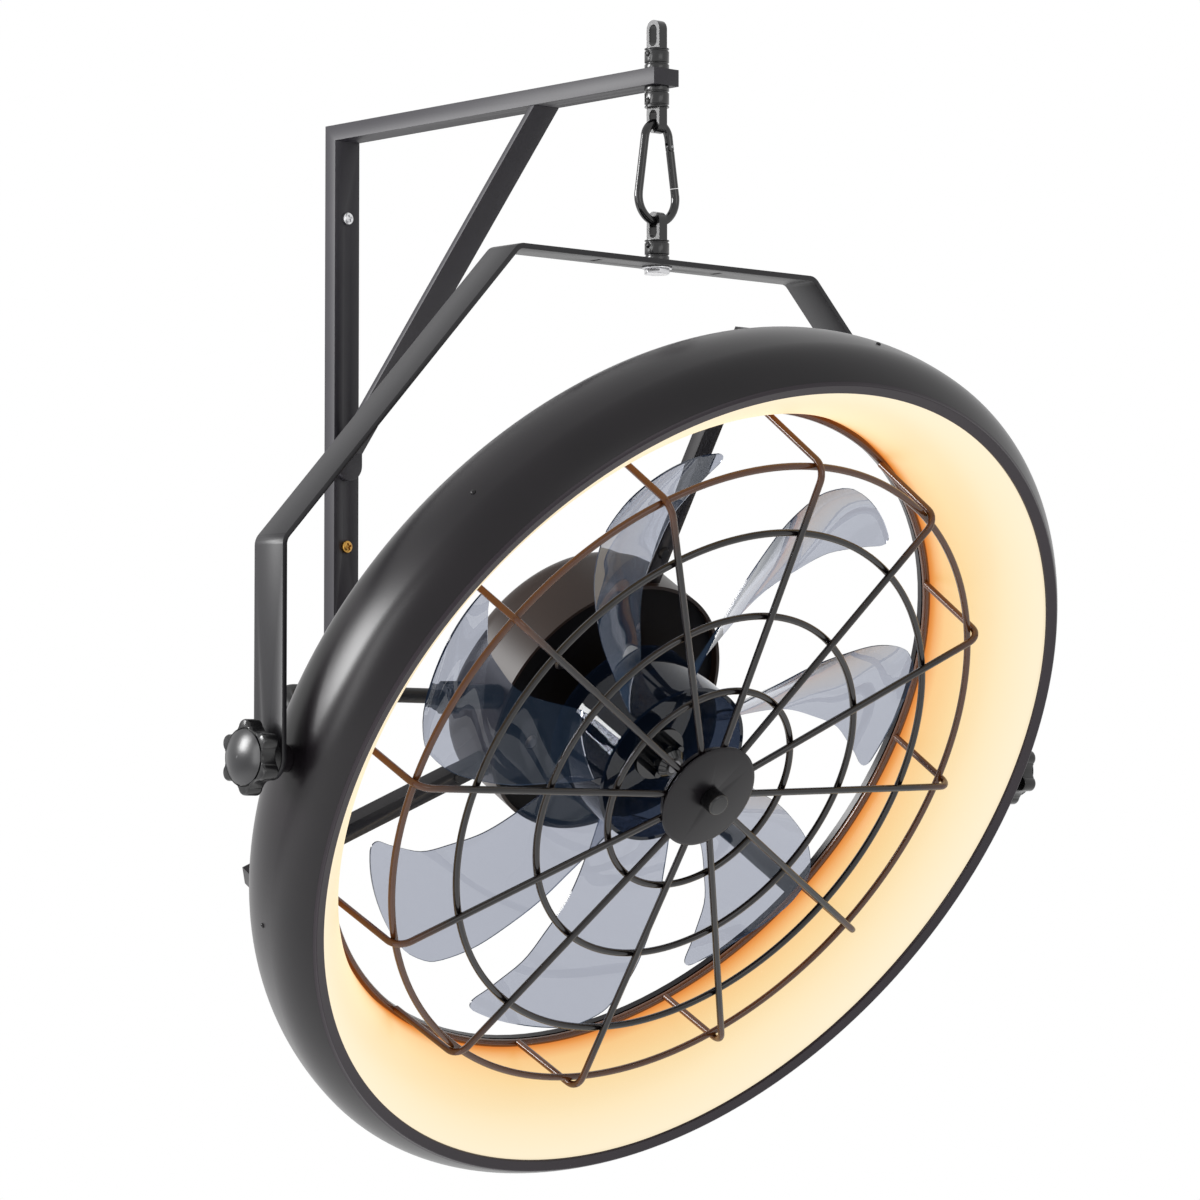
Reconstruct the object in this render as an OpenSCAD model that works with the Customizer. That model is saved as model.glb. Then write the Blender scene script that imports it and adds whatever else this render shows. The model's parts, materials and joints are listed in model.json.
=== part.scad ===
// Wall fan with a lit ring, hung from a bracket by a snap hook and held in a bent-bar yoke.
// Units are millimetres. +Z is up, the wall is the plane y = 0 and the fan stands out towards -Y.
// The origin lies on the wall face of the post, halfway between the two wall screws.

/* [Wall bracket] */
// Width of the bracket tube along the wall
tube_w = 19; // [14:0.5:30]
// Depth of the bracket tube
tube_d = 9.5; // [8:0.5:16]
// Wall of the bracket tube
tube_wall = 1.2; // [0.8:0.1:2]
// Height of the post above the origin
post_up = 156.6; // [140:1:200]
// Length of the post below the origin
post_down = 154; // [120:1:200]
// Distance between the two wall screws
screw_pitch = 200; // [150:5:220]
// Diameter of a wall screw's shank
screw_d = 5; // [4:0.5:6]
// Diameter of a wall screw's head
screw_head_d = 7.4; // [6:0.2:8.6]
// Length of the arm from the wall
arm_len = 295.3; // [260:1:340]
// Distance of the swivel's axis from the arm's end
swivel_inset = 8; // [7.6:0.1:14]
// Thickness of the brace bar
brace_t = 3.6; // [2:0.5:5]
// Height at which the brace meets the post, below the origin
brace_drop = 42; // [20:1:80]
// Distance from the wall at which the brace meets the arm
brace_out = 188.5; // [120:1:220]
// Length of the brace's foot on the post
brace_foot = 18; // [12:1:24]

/* [Swivels and snap hook] */
// Diameter of a swivel barrel
barrel_d = 14; // [12:0.5:18]
// Height of a swivel barrel
barrel_h = 12; // [10:0.5:16]
// Diameter of an eye's shank
shank_d = 8; // [6:0.5:9]
// Length of an eye's shank
shank_len = 6.5; // [5:0.5:8]
// Width of an eye across its slot
eye_w = 10.6; // [9.6:0.2:14]
// Thickness of an eye
eye_t = 6; // [4:0.5:7]
// Height of an eye above its barrel
eye_h = 16.1; // [14:0.1:20]
// Height of the hanging eye
hanging_eye_h = 14.5; // [13.5:0.1:20]
// Width of an eye's slot
slot_w = 6.2; // [6:0.1:7]
// Wall at an eye's tip
eye_tip = 2.6; // [2:0.1:4]
// Diameter of the snap hook's wire
hook_wire = 4.8; // [3.5:0.1:5.2]
// Height of the snap hook
hook_h = 61.1; // [52:0.5:80]
// Width of the snap hook at its narrow end
hook_top_w = 23; // [19:0.5:28]
// Width of the snap hook at its wide end
hook_low_w = 33; // [29:0.5:42]

/* [Yoke] */
// Width of the yoke's flat bar
bar_w = 24; // [18:1:32]
// Thickness of the yoke's flat bar
bar_t = 3; // [2:0.5:5]
// Width of the yoke's top between its upper corners
yoke_top_w = 227; // [160:1:300]
// Height of the yoke's slanted shoulders
shoulder_h = 168.8; // [120:0.1:220]
// Length of a leg from the shoulder to the tilt axis
leg_len = 114.9; // [70:0.1:150]
// Gap between the lamp ring and a leg
side_gap = 9; // [6:0.5:16]
// Inner radius of the yoke's bends
bend_r = 6; // [3:0.5:12]

/* [Tilt knobs] */
// Diameter of a tilt stud
stud_d = 8; // [6:0.5:10]
// Outer diameter of a star knob
knob_d = 40; // [36:1:50]
// Thickness of a star knob
knob_h = 16; // [12:0.5:20]
// Height of the domed cap on a star knob
cap_h = 4; // [3:0.5:7]

/* [Head] */
// Tilt of the fan's axis below the horizontal
tilt = 31.3; // [0:0.1:60]
// Height of the fan's axis over the tilt axis, square to the fan's axis
axis_rise = 6.2; // [0:0.1:10]
// Largest radius of the lamp ring
ring_r = 265.7; // [245:0.1:290]
// Radius of the lamp ring's front edge
crease_r = 252.7; // [238:0.1:262]
// Inner radius of the front rim
rim_in_r = 246.8; // [225:0.1:270]
// Inner radius of the lamp ring's rear opening
open_r = 205; // [190:0.1:225]
// Distance of the front edge in front of the tilt axis
front_z = 39.9; // [30:0.1:50]
// Depth of the lamp ring behind the tilt axis
rear_z = 28; // [26:0.1:34]
// Sheet thickness of the lamp ring
sheet_t = 1.5; // [1:0.1:2.5]
// Wall of the diffuser
diffuser_t = 2; // [1.5:0.1:3]

/* [Guard] */
// Diameter of the guard's wire
wire_d = 4; // [3:0.1:5]
// Diameter of the guard's rear ring wire
rear_wire_d = 4.5; // [3:0.1:5]
// Number of radial wires
radials = 12; // [8:1:18]
// Turn of the first radial wire about the fan's axis
radial_turn = 0.86; // [0:0.1:29]
// Radius of the guard's flat front at its corner
guard_r = 200.4; // [185:0.1:203]
// Radius of the centre plate
plate_r = 31.5; // [24:0.5:40]

/* [Motor and blades] */
// Radius of the motor housing
motor_r = 79; // [60:0.1:95]
// Depth of the motor housing
motor_h = 51; // [40:0.5:60]
// Distance of the motor's front behind the tilt axis
motor_back = 53; // [50:0.1:60]
// Diameter of the motor's shaft
shaft_d = 8; // [8:0.5:12]
// Radius of the blade hub
hub_r = 49.4; // [40:0.1:60]
// Number of blades
blade_count = 7; // [5:1:9]
// Largest radius of the blades
blade_r = 185.2; // [170:0.1:190]
// Thickness of a blade
blade_t = 2; // [1.5:0.1:3]

/* [Hidden] */
$fn = 96;

// Overrun of every cut past the face it leaves
over = 1;
// Radial clearance of a turning fit
run_fit = 0.05;
// Gap between pieces that seat on each other
seat = 0.05;
black = "#2a2a2c";

// Places that follow from the driving sizes
swivel_out = arm_len - swivel_inset;
arm_under = post_up - tube_d;
hook_top_axis = arm_under - barrel_h - hanging_eye_h + eye_tip + slot_w / 2;
hook_top_r = (hook_top_w - hook_wire) / 2;
hook_low_r = (hook_low_w - hook_wire) / 2;
hook_top_z = hook_top_axis - hook_top_r;
hook_low_axis = hook_top_axis - (hook_h - hook_wire);
hook_low_z = hook_low_axis + hook_low_r;
hook_lean = asin((hook_low_r - hook_top_r) / (hook_top_z - hook_low_z));
yoke_top_z = hook_low_axis + slot_w / 2 + eye_tip - barrel_h - eye_h;
widest_z = 13.7;
rear_round = 19;
// Radius of the ring's sheet at a height, set in by a depth: a parabola in front, an ellipse behind
function shell_r(z, set = 0) = z > widest_z
    ? ring_r - set - (ring_r - crease_r) * pow((z - widest_z) / (front_z - widest_z), 2)
    : ring_r - rear_round
        + (rear_round - set) * sqrt(1 - pow((widest_z - z) / (rear_z + widest_z - set), 2));
leg_in = shell_r(0) + side_gap;
leg_out = leg_in + bar_t;
pivot_z = yoke_top_z - shoulder_h - leg_len;

// A bent piece of wire is thicker than the straight runs by this, which reach into it by the lap
bend_swell = 0.1;
lap = 0.5;

// A round rod from one point to another, run on by a lap at its two ends
module rod(from, to, d, lap_from = 0, lap_to = 0) {
    run = to - from;
    translate(from) rotate([0, acos(run.z / norm(run)), atan2(run.y, run.x)])
        translate([0, 0, -lap_from]) cylinder(h = norm(run) + lap_from + lap_to, d = d);
}

// Frames that the pieces are drawn in
module at_swivel(z) { translate([0, -swivel_out, z]) children(); }
module in_head() { translate([0, -swivel_out, pivot_z]) rotate([tilt, 0, 0]) children(); }
// Fan frame: z along the fan's axis towards the front, y up, x as in the row
module in_fan() { in_head() translate([0, 0, axis_rise]) rotate([90, 0, 0]) children(); }
module around(count, turn = 0) {
    for (i = [0 : count - 1]) rotate([0, 0, turn + i * 360 / count]) children();
}
module both_sides() { children(); mirror([1, 0, 0]) children(); }

// Bracket

module bracket_tube() color(black) difference() {
    union() {
        translate([-tube_w / 2, -tube_d, -post_down]) cube([tube_w, tube_d, post_up + post_down]);
        translate([-tube_w / 2, -arm_len, arm_under]) cube([tube_w, arm_len, tube_d]);
    }
    translate([-tube_w / 2 + tube_wall, -tube_d + tube_wall, -post_down - over])
        cube([tube_w - 2 * tube_wall, tube_d - 2 * tube_wall, post_up + post_down - tube_wall + over]);
    translate([-tube_w / 2 + tube_wall, -arm_len + tube_wall, arm_under + tube_wall])
        cube([tube_w - 2 * tube_wall, arm_len - 2 * tube_wall, tube_d - 2 * tube_wall]);
    for (side = [-1, 1]) translate([0, over, side * screw_pitch / 2]) rotate([90, 0, 0])
        cylinder(h = tube_d + 2 * over, d = screw_d + 4 * run_fit);
    at_swivel(arm_under - over) cylinder(h = tube_d + 2 * over, d = spigot_d + 2 * run_fit);
}

plug_h = 6;
module post_plug() color("#1c1c1e") {
    translate([-tube_w / 2 + tube_wall + seat, -tube_d + tube_wall + seat, -post_down])
        cube([tube_w - 2 * tube_wall - 2 * seat, tube_d - 2 * tube_wall - 2 * seat, plug_h]);
    translate([-tube_w / 2, -tube_d, -post_down - tube_wall - seat])
        cube([tube_w, tube_d, tube_wall]);
    translate([-tube_w / 4, -tube_d * 3 / 4, -post_down - seat - tube_wall / 2])
        cube([tube_w / 2, tube_d / 2, tube_wall]);
}

// Brace: a flat bar with one bent foot, drawn in its side view and given its width
module brace() color(black) {
    knee = [tube_d + seat, -brace_drop];
    lean = atan2(arm_under - seat + brace_drop, brace_out - knee.x);
    foot_end = -brace_drop - brace_foot;
    intersection() {
        translate([tube_w / 2, 0, 0]) rotate([90, 0, -90]) linear_extrude(tube_w)
            polygon([knee, [brace_out, arm_under - seat],
                [brace_out + brace_t / sin(lean), arm_under - seat],
                knee + brace_t * [1, -tan(45 - lean / 2)],
                [knee.x + brace_t, foot_end], [knee.x, foot_end]]);
        // Rounded end of the foot
        union() {
            translate([-tube_w, -arm_len, foot_end + tube_w / 2]) cube([2 * tube_w, arm_len, arm_len]);
            translate([0, 0, foot_end + tube_w / 2]) rotate([90, 0, 0])
                cylinder(h = arm_len, d = tube_w);
        }
    }
}

// Wall screws with a pan head, a cross recess and a shank that ends at the wall face
head_h = 2.6;
module wall_screws() color("#b9b2a2")
    for (side = [-1, 1]) translate([0, -tube_d - seat, side * screw_pitch / 2]) rotate([90, 0, 0])
        difference() {
            union() {
                translate([0, 0, -tube_d]) cylinder(h = tube_d, d = screw_d);
                cylinder(h = head_h * 0.45, d = screw_head_d);
                translate([0, 0, head_h * 0.45]) rotate_extrude() intersection() {
                    scale([screw_head_d / 2, head_h * 0.55]) circle(1);
                    square([screw_head_d, head_h]);
                }
            }
            for (turn = [0, 90]) rotate([0, 0, turn + 20])
                translate([-screw_head_d * 0.3, -screw_head_d * 0.08, head_h * 0.4])
                    cube([screw_head_d * 0.6, screw_head_d * 0.16, head_h]);
        }

// Swivels

spigot_d = 10;
spigot_in = 4;
groove_d = shank_d - 2;
set_screw_d = 2.4;
set_screw_z = barrel_h - shank_len / 2;
rivet_d = 3.4;
rivet_h = 1.2;

// A barrel standing on its base, with its bore and grooves
module barrel_body() difference() {
    cylinder(h = barrel_h - seat, d = barrel_d);
    translate([0, 0, barrel_h - shank_len - 3 * seat])
        cylinder(h = shank_len + over, d = shank_d + 2 * run_fit);
    for (share = barrel_groove_shares) translate([0, 0, barrel_h * share]) rotate_extrude()
        translate([barrel_d / 2, 0]) circle(d = groove_w);
    translate([0, 0, set_screw_z]) rotate([0, -90, 0])
        cylinder(h = barrel_d, d = set_screw_d + 2 * run_fit);
}
barrel_groove_shares = [0.28, 0.9];
groove_w = 1.2;

// An eye standing on its barrel's mouth: shank below, slotted plate above
module eye_body(eye_h = eye_h) {
    difference() {
        translate([0, 0, -shank_len]) cylinder(h = shank_len, d = shank_d);
        translate([0, 0, -shank_len / 2]) difference() {
            cylinder(h = set_screw_d + 4 * run_fit, d = shank_d + 2 * over, center = true);
            cylinder(h = shank_len, d = groove_d, center = true);
        }
    }
    difference() {
        union() {
            translate([-eye_t / 2, -eye_w / 2, 0]) cube([eye_t, eye_w, eye_h - eye_w / 2]);
            translate([-eye_t / 2, 0, eye_h - eye_w / 2]) rotate([0, 90, 0])
                cylinder(h = eye_t, d = eye_w);
        }
        for (z = [slot_low, eye_h - eye_tip - slot_w / 2])
            translate([-eye_t, 0, z]) rotate([0, 90, 0]) cylinder(h = 2 * eye_t, d = slot_w);
        translate([-eye_t, -slot_w / 2, slot_low])
            cube([2 * eye_t, slot_w, eye_h - eye_tip - slot_w / 2 - slot_low]);
    }
}
slot_low = slot_w / 2 + tube_wall;

module set_screw() translate([0, 0, set_screw_z]) rotate([0, -90, 0]) {
    translate([0, 0, groove_d / 2 + run_fit * 2])
        cylinder(h = barrel_d / 2 - groove_d / 2 - run_fit * 2, d = set_screw_d);
    translate([0, 0, barrel_d / 2 + seat]) difference() {
        rotate_extrude() intersection() {
            scale([rivet_d / 2, rivet_h]) circle(1);
            square([rivet_d, rivet_h + over]);
        }
        translate([0, 0, rivet_h]) cylinder(h = rivet_h, d = rivet_d / 2, center = true, $fn = 6);
    }
}

module upper_barrel() color(black) at_swivel(post_up + seat) difference() {
    barrel_body();
    translate([0, 0, -over]) cylinder(h = spigot_in + seat + over, d = spigot_d + 2 * run_fit);
}
module lower_barrel() color(black) at_swivel(arm_under - seat) {
    mirror([0, 0, 1]) barrel_body();
    cylinder(h = tube_d + spigot_in, d = spigot_d);
}
module barrel_set_screws() color("#1b1b1d") {
    at_swivel(post_up + seat) set_screw();
    at_swivel(arm_under - seat) mirror([0, 0, 1]) set_screw();
}
module upper_eye() color(black) at_swivel(post_up + barrel_h + 2 * seat) eye_body();
module hanging_eye() color(black) at_swivel(arm_under - barrel_h - 2 * seat)
    mirror([0, 0, 1]) eye_body(hanging_eye_h);
module yoke_eye() color(black) at_swivel(yoke_top_z + barrel_h + 2 * seat) eye_body();
module yoke_barrel() color(black) at_swivel(yoke_top_z + seat) difference() {
    barrel_body();
    translate([0, 0, -over]) cylinder(h = spigot_in + seat + over, d = bolt_d + 2 * run_fit);
}
module yoke_set_screw() color("#1b1b1d") at_swivel(yoke_top_z + seat) set_screw();

// Snap hook: one bent wire with a sprung gate in its right-hand leg

gate_top = 5;
gate_len = 23.5;
gate_gap = 0.35;
tongue_w = 1.9;
pin_d = 1.6;

// Places the children at the top of the right-hand leg, with z running down the leg
module on_leg() at_swivel(hook_top_z)
    translate([hook_top_r * cos(hook_lean), 0, hook_top_r * sin(hook_lean)])
        rotate([0, 180 - hook_lean, 0]) children();
leg_run = sqrt(pow(hook_top_z - hook_low_z, 2) - pow(hook_low_r - hook_top_r, 2));

module hook_arc(r, z, from, sweep) at_swivel(z) rotate([90, 0, 0])
    rotate([0, 0, from]) rotate_extrude(angle = sweep) translate([r, 0])
        circle(d = hook_wire + bend_swell);

module snap_hook() color("#1e1e20") {
    union() {
        hook_arc(hook_top_r, hook_top_z, hook_lean, 180 - 2 * hook_lean);
        hook_arc(hook_low_r, hook_low_z, 180 - hook_lean, 180 + 2 * hook_lean);
        mirror([1, 0, 0]) on_leg() translate([0, 0, -lap])
            cylinder(h = leg_run + 2 * lap, d = hook_wire);
        difference() {
            on_leg() {
                translate([0, 0, -lap]) cylinder(h = gate_top + lap, d = hook_wire);
                intersection() {
                    cylinder(h = gate_top + hook_wire, d = hook_wire);
                    translate([0, hook_wire, gate_top]) rotate([90, 0, 0])
                        cylinder(h = 2 * hook_wire, d = hook_wire);
                }
            }
            // Slot and pin hole of the gate's hinge
            on_leg() {
                translate([-hook_wire, -tongue_w / 2 - gate_gap, gate_top - hook_wire / 2])
                    cube([2 * hook_wire, tongue_w + 2 * gate_gap, 2 * hook_wire]);
                translate([0, hook_wire, gate_top]) rotate([90, 0, 0])
                    cylinder(h = 2 * hook_wire, d = pin_d + 2 * run_fit);
            }
        }
        on_leg() translate([0, 0, gate_top + gate_len + gate_gap])
            cylinder(h = leg_run - gate_top - gate_len - gate_gap + lap, d = hook_wire);
    }
}

module hook_gate() color("#1e1e20") on_leg() difference() {
    union() {
        translate([0, 0, gate_top + hook_wire / 2 + gate_gap])
            cylinder(h = gate_len - hook_wire / 2 - gate_gap, d = hook_wire);
        intersection() {
            translate([-hook_wire / 2, -tongue_w / 2, gate_top - hook_wire / 2 + gate_gap])
                cube([hook_wire, tongue_w, 2 * hook_wire]);
            union() {
                translate([0, hook_wire, gate_top]) rotate([90, 0, 0])
                    cylinder(h = 2 * hook_wire, d = hook_wire - 2 * gate_gap);
                translate([-hook_wire / 2 + gate_gap, -hook_wire, gate_top])
                    cube([hook_wire - 2 * gate_gap, 2 * hook_wire, 2 * hook_wire]);
            }
        }
    }
    translate([0, hook_wire, gate_top]) rotate([90, 0, 0])
        cylinder(h = 2 * hook_wire, d = pin_d + 2 * run_fit);
    translate([0, 0, gate_top + hook_wire]) cylinder(h = plunger_len + 2 * seat, d = plunger_d + 2 * seat);
}
plunger_d = 2.2;
plunger_len = 12;
module gate_pin() color("#8a8a8c") on_leg() translate([0, hook_wire / 2, gate_top])
    rotate([90, 0, 0]) cylinder(h = hook_wire, d = pin_d);
module gate_plunger() color("#8a8a8c") on_leg() translate([0, 0, gate_top + hook_wire + seat])
    cylinder(h = plunger_len, d = plunger_d);

// Yoke: a flat bar bent at four corners

bolt_d = 8;
bolt_af = 13;
bolt_head_h = 3;
washer_t = 1.2;
washer_d = 17;
slot_out = 46;
yoke_slot = [8, 3];

// Points round one bend of the bar, by the lean of the bar from level
bend_steps = 12;
function bend_line(centre, r, from, to) = [for (i = [0 : bend_steps])
    let (a = from + (to - from) * i / bend_steps) centre + r * [sin(a), cos(a)]];
function mirrored(line) = [for (p = turned(line)) [-p.x, p.y]];
shoulder_x = leg_out - yoke_top_w / 2;
shoulder_lean = atan2(shoulder_h, shoulder_x);
upper_set = (bend_r + bar_t) * tan(shoulder_lean / 2);
lower_set = (bend_r + bar_t) * tan((90 - shoulder_lean) / 2);
top_bend = [yoke_top_w / 2 - upper_set, -bend_r - bar_t];
low_bend = [leg_in - bend_r, -shoulder_h - lower_set];
// Right-hand half of one face of the bar, from the middle to the leg's end
function bar_line(r, x) = concat(bend_line(top_bend, r, 0, shoulder_lean),
    bend_line(low_bend, r, shoulder_lean, 90), [[x, -shoulder_h - leg_len]]);

module yoke2d() {
    outer = bar_line(bend_r + bar_t, leg_out);
    inner = bar_line(bend_r, leg_in);
    polygon(concat(mirrored(outer), outer, turned(inner), turned(mirrored(inner))));
}

module yoke() color(black) difference() {
    union() {
        at_swivel(yoke_top_z) rotate([90, 0, 0])
            translate([0, 0, -bar_w / 2]) linear_extrude(bar_w) yoke2d();
        for (x = [-leg_out, leg_in]) at_swivel(pivot_z) translate([x, 0, 0])
            rotate([0, 90, 0]) cylinder(h = bar_t, d = bar_w);
    }
    at_swivel(yoke_top_z - 2 * bar_t) cylinder(h = 3 * bar_t, d = bolt_d + 4 * run_fit);
    at_swivel(pivot_z) translate([-leg_out - over, 0, 0]) rotate([0, 90, 0])
        cylinder(h = 2 * leg_out + 2 * over, d = stud_d + 2 * run_fit);
    for (side = [-1, 1]) at_swivel(yoke_top_z - bar_t / 2) translate([side * slot_out, 0, 0])
        cube([yoke_slot.y, yoke_slot.x, 2 * bar_t], center = true);
}

module yoke_washer() color("#b8b8ba") at_swivel(yoke_top_z - bar_t - seat - washer_t) difference() {
    cylinder(h = washer_t, d = washer_d);
    translate([0, 0, -over]) cylinder(h = washer_t + 2 * over, d = bolt_d + 4 * run_fit);
}
module yoke_bolt() color("#c4c4c6") at_swivel(yoke_top_z - bar_t - 2 * seat - washer_t) {
    cylinder(h = spigot_in + bar_t + washer_t + 2 * seat, d = bolt_d);
    translate([0, 0, -bolt_head_h]) intersection() {
        cylinder(h = bolt_head_h, d = bolt_af / cos(30), $fn = 6);
        translate([0, 0, bolt_af * 0.85]) sphere(bolt_af);
    }
}

// Lamp ring

shell_steps = 12;
rim_face = 1.5;
back_flange = 9;
shell_top = front_z - rim_face - seat;
// Outline of the ring's sheet, set in by a depth, from the front edge round to the rear flange
function shell_line(set) = concat(
    [for (i = [0 : shell_steps]) let (z = shell_top - (shell_top - widest_z) * i / shell_steps)
        [shell_r(z, set), z]],
    [for (i = [1 : shell_steps]) let (a = 90 * i / shell_steps)
        [ring_r - rear_round + (rear_round - set) * cos(a),
            widest_z - (rear_z + widest_z - set) * sin(a)]],
    [[ring_r - rear_round - back_flange, -rear_z + set]]);
function turned(line) = [for (i = [len(line) - 1 : -1 : 0]) line[i]];

module ring_shell() color("#262628") in_fan() difference() {
    rotate_extrude($fn = 180) polygon(concat(shell_line(0), turned(shell_line(sheet_t))));
    translate([-ring_r - over, -axis_rise, 0]) rotate([0, 90, 0])
        cylinder(h = 2 * ring_r + 2 * over, d = stud_d + 2 * run_fit);
}

rim_skirt = 7;
rim_fall = 1.7;
module front_rim() color("#302e32") in_fan() rotate_extrude($fn = 180) {
    skirt = shell_r(shell_top, sheet_t) - 2 * seat;
    polygon([[rim_in_r, front_z - rim_fall], [crease_r, front_z],
        [shell_r(front_z - rim_face), front_z - rim_face],
        [skirt, front_z - rim_face - seat], [skirt, front_z - rim_face - rim_skirt],
        [skirt - sheet_t, front_z - rim_face - rim_skirt], [skirt - sheet_t, front_z - 2 * rim_face],
        [rim_in_r, front_z - rim_fall - rim_face]]);
}

// Rear ring plate, with a turned-up inner edge that the guard's rear ring sits on
back_z = -rear_z - seat - sheet_t;
lip_h = 2;
back_edge_set = 1;
module lamp_back() color("#232325") in_fan() difference() {
    rotate_extrude($fn = 180) polygon([[open_r, back_z], [ring_r - rear_round - back_edge_set, back_z],
        [ring_r - rear_round - back_edge_set, back_z + sheet_t], [open_r + sheet_t, back_z + sheet_t],
        [open_r + sheet_t, back_z + sheet_t + lip_h], [open_r, back_z + sheet_t + lip_h]]);
    around(6, back_screw_turn) translate([back_screw_r, 0, back_z - over])
        cylinder(h = sheet_t + 2 * over, d = back_screw_d + 4 * run_fit);
}
back_screw_turn = 15;
back_screw_r = ring_r - rear_round - back_flange / 2;
back_screw_d = 2.4;
back_head_h = 1.4;
module back_screws() color("#8c8c8e") in_fan() around(6, back_screw_turn)
    translate([back_screw_r, 0, back_z - seat]) {
        cylinder(h = sheet_t, d = back_screw_d);
        rotate([180, 0, 0]) cylinder(h = back_head_h, d1 = back_screw_d * 2, d2 = back_screw_d * 1.4);
    }

// The diffuser's cone, from under the rim to a straight collar round the guard's rear ring
cone_rear_r = 209.6;
cone_rear_z = -22;
collar_end = back_z + sheet_t + seat;
module diffuser() color("#ffe2ae") in_fan() rotate_extrude($fn = 180) {
    side = diffuser_t * 1.2;
    front = front_z - rim_fall - rim_face - 2 * seat;
    polygon([[rim_in_r + side, front], [rim_in_r, front], [cone_rear_r, cone_rear_z],
        [cone_rear_r, collar_end], [cone_rear_r + diffuser_t, collar_end],
        [cone_rear_r + diffuser_t, cone_rear_z + diffuser_t * 0.6]]);
}

board_t = 1.6;
board_in = 216;
board_z = -rear_z + sheet_t + seat;
module led_board() color("#f2f2ee") in_fan() translate([0, 0, board_z]) difference() {
    cylinder(h = board_t, r = ring_r - rear_round - 2 * sheet_t, $fn = 180);
    translate([0, 0, -over]) cylinder(h = board_t + 2 * over, r = board_in, $fn = 180);
}
chip = [3, 3, 0.9];
chip_count = 48;
chip_set = 14;
module led_chips() color("#fff1b8") in_fan() around(chip_count)
    translate([back_screw_r - chip_set, -chip.y / 2, board_z + board_t + seat]) cube(chip);

// Tilt studs, with a flange inside the ring, and the spacers outside it
flange_d = 20;
flange_t = 3;
stud_short = 3;
stud_out = leg_out + knob_h - stud_short;
module tilt_studs() color("#9a9a9c") both_sides() in_fan() translate([0, -axis_rise, 0])
    rotate([0, 90, 0]) {
        // The flange's rim touches the sheet, which curves both ways
        seat_x = shell_r(-flange_d / 2, sheet_t) - seat - pow(flange_d / 2 + axis_rise, 2) / (2 * ring_r);
        translate([0, 0, seat_x - flange_t]) cylinder(h = flange_t, d = flange_d);
        translate([0, 0, seat_x - flange_t]) cylinder(h = stud_out - seat_x + flange_t, d = stud_d);
    }
spacer_d = 15;
module side_spacers() color("#1d1d1f") both_sides() in_fan() translate([0, -axis_rise, 0])
    rotate([0, 90, 0]) translate([0, 0, shell_r(spacer_d / 2) + seat]) difference() {
        cylinder(h = leg_in - shell_r(spacer_d / 2) - 3 * seat, d = spacer_d);
        translate([0, 0, -over]) cylinder(h = side_gap + 2 * over, d = stud_d + 2 * run_fit);
    }

// Small screws that hold the rim's flange to the ring
ring_screw_d = 3;
ring_screw_turn = 23.5;
ring_screw_z = 6;
ring_screw_h = 1;
// Lean of the sheet there, out of the fan's axis
ring_screw_lean = atan((shell_r(ring_screw_z - ring_screw_d / 2) - shell_r(ring_screw_z + ring_screw_d / 2))
    / ring_screw_d);
module ring_screws() color("#202022") in_fan() around(6, ring_screw_turn)
    translate([shell_r(ring_screw_z) + seat, 0, ring_screw_z])
        rotate([0, 90 - ring_screw_lean, 0]) rotate_extrude() intersection() {
            scale([ring_screw_d / 2, ring_screw_h]) circle(1);
            square([ring_screw_d, ring_screw_h]);
        }

// Guard: radial wires with one bend each, concentric rings behind them, and the centre plates

hub_end = 24;
front_rise = 0.0407;
corner_set = 4.7;
corner = [guard_r, front_z - corner_set];
wire_start = [hub_end, corner.y + front_rise * (corner.x - hub_end)];
weld = 0.03;
rear_ring_set = 1.9;
rear_ring_r = open_r + rear_ring_set;
rear_ring_z = back_z + sheet_t + lip_h + rear_wire_d / 2 + weld;
wire_end_set = 1.6;
wire_end = [rear_ring_r - wire_end_set, rear_ring_z + rear_wire_d / 2 + weld];
wire_bend_r = 10;
fall_angle = atan2(wire_start.y - corner.y, corner.x - wire_start.x);
leg_angle = atan2(corner.y - wire_end.y, wire_end.x - corner.x);
bend_sweep = leg_angle - fall_angle;
bend_set = wire_bend_r * tan(bend_sweep / 2);

module guard_wire() {
    run_in = [corner.x - wire_start.x, corner.y - wire_start.y];
    run_out = [wire_end.x - corner.x, wire_end.y - corner.y];
    in_end = corner - bend_set * run_in / norm(run_in);
    out_start = corner + bend_set * run_out / norm(run_out);
    centre = in_end + wire_bend_r * [-sin(fall_angle), -cos(fall_angle)];
    rod([wire_start.x, 0, wire_start.y], [in_end.x, 0, in_end.y], wire_d, 0, lap);
    translate([centre.x, 0, centre.y]) rotate([90, 0, 0]) rotate([0, 0, 90 - leg_angle])
        rotate_extrude(angle = bend_sweep) translate([wire_bend_r, 0]) circle(d = wire_d + bend_swell);
    rod([out_start.x, 0, out_start.y], [wire_end.x, 0, wire_end.y], wire_d, lap);
}
module guard_wires() color(black) in_fan() around(radials, radial_turn) guard_wire();

// Radii of the rings on the front, as shares of the guard's radius
front_ring_shares = [0.312, 0.542, 0.7955];
side_ring_drop = 8.3;
module wire_ring(r, d = wire_d) rotate_extrude($fn = 180) translate([r, 0]) circle(d = d);
module guard_rings() color(black) in_fan() {
    for (share = front_ring_shares)
        translate([0, 0, corner.y + front_rise * guard_r * (1 - share) - wire_d - weld])
            wire_ring(guard_r * share);
    translate([0, 0, corner.y - side_ring_drop])
        wire_ring(guard_r + side_ring_drop / tan(leg_angle) - (wire_d + 2 * weld) / sin(leg_angle));
    translate([0, 0, rear_ring_z]) wire_ring(rear_ring_r, rear_wire_d);
}

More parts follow.
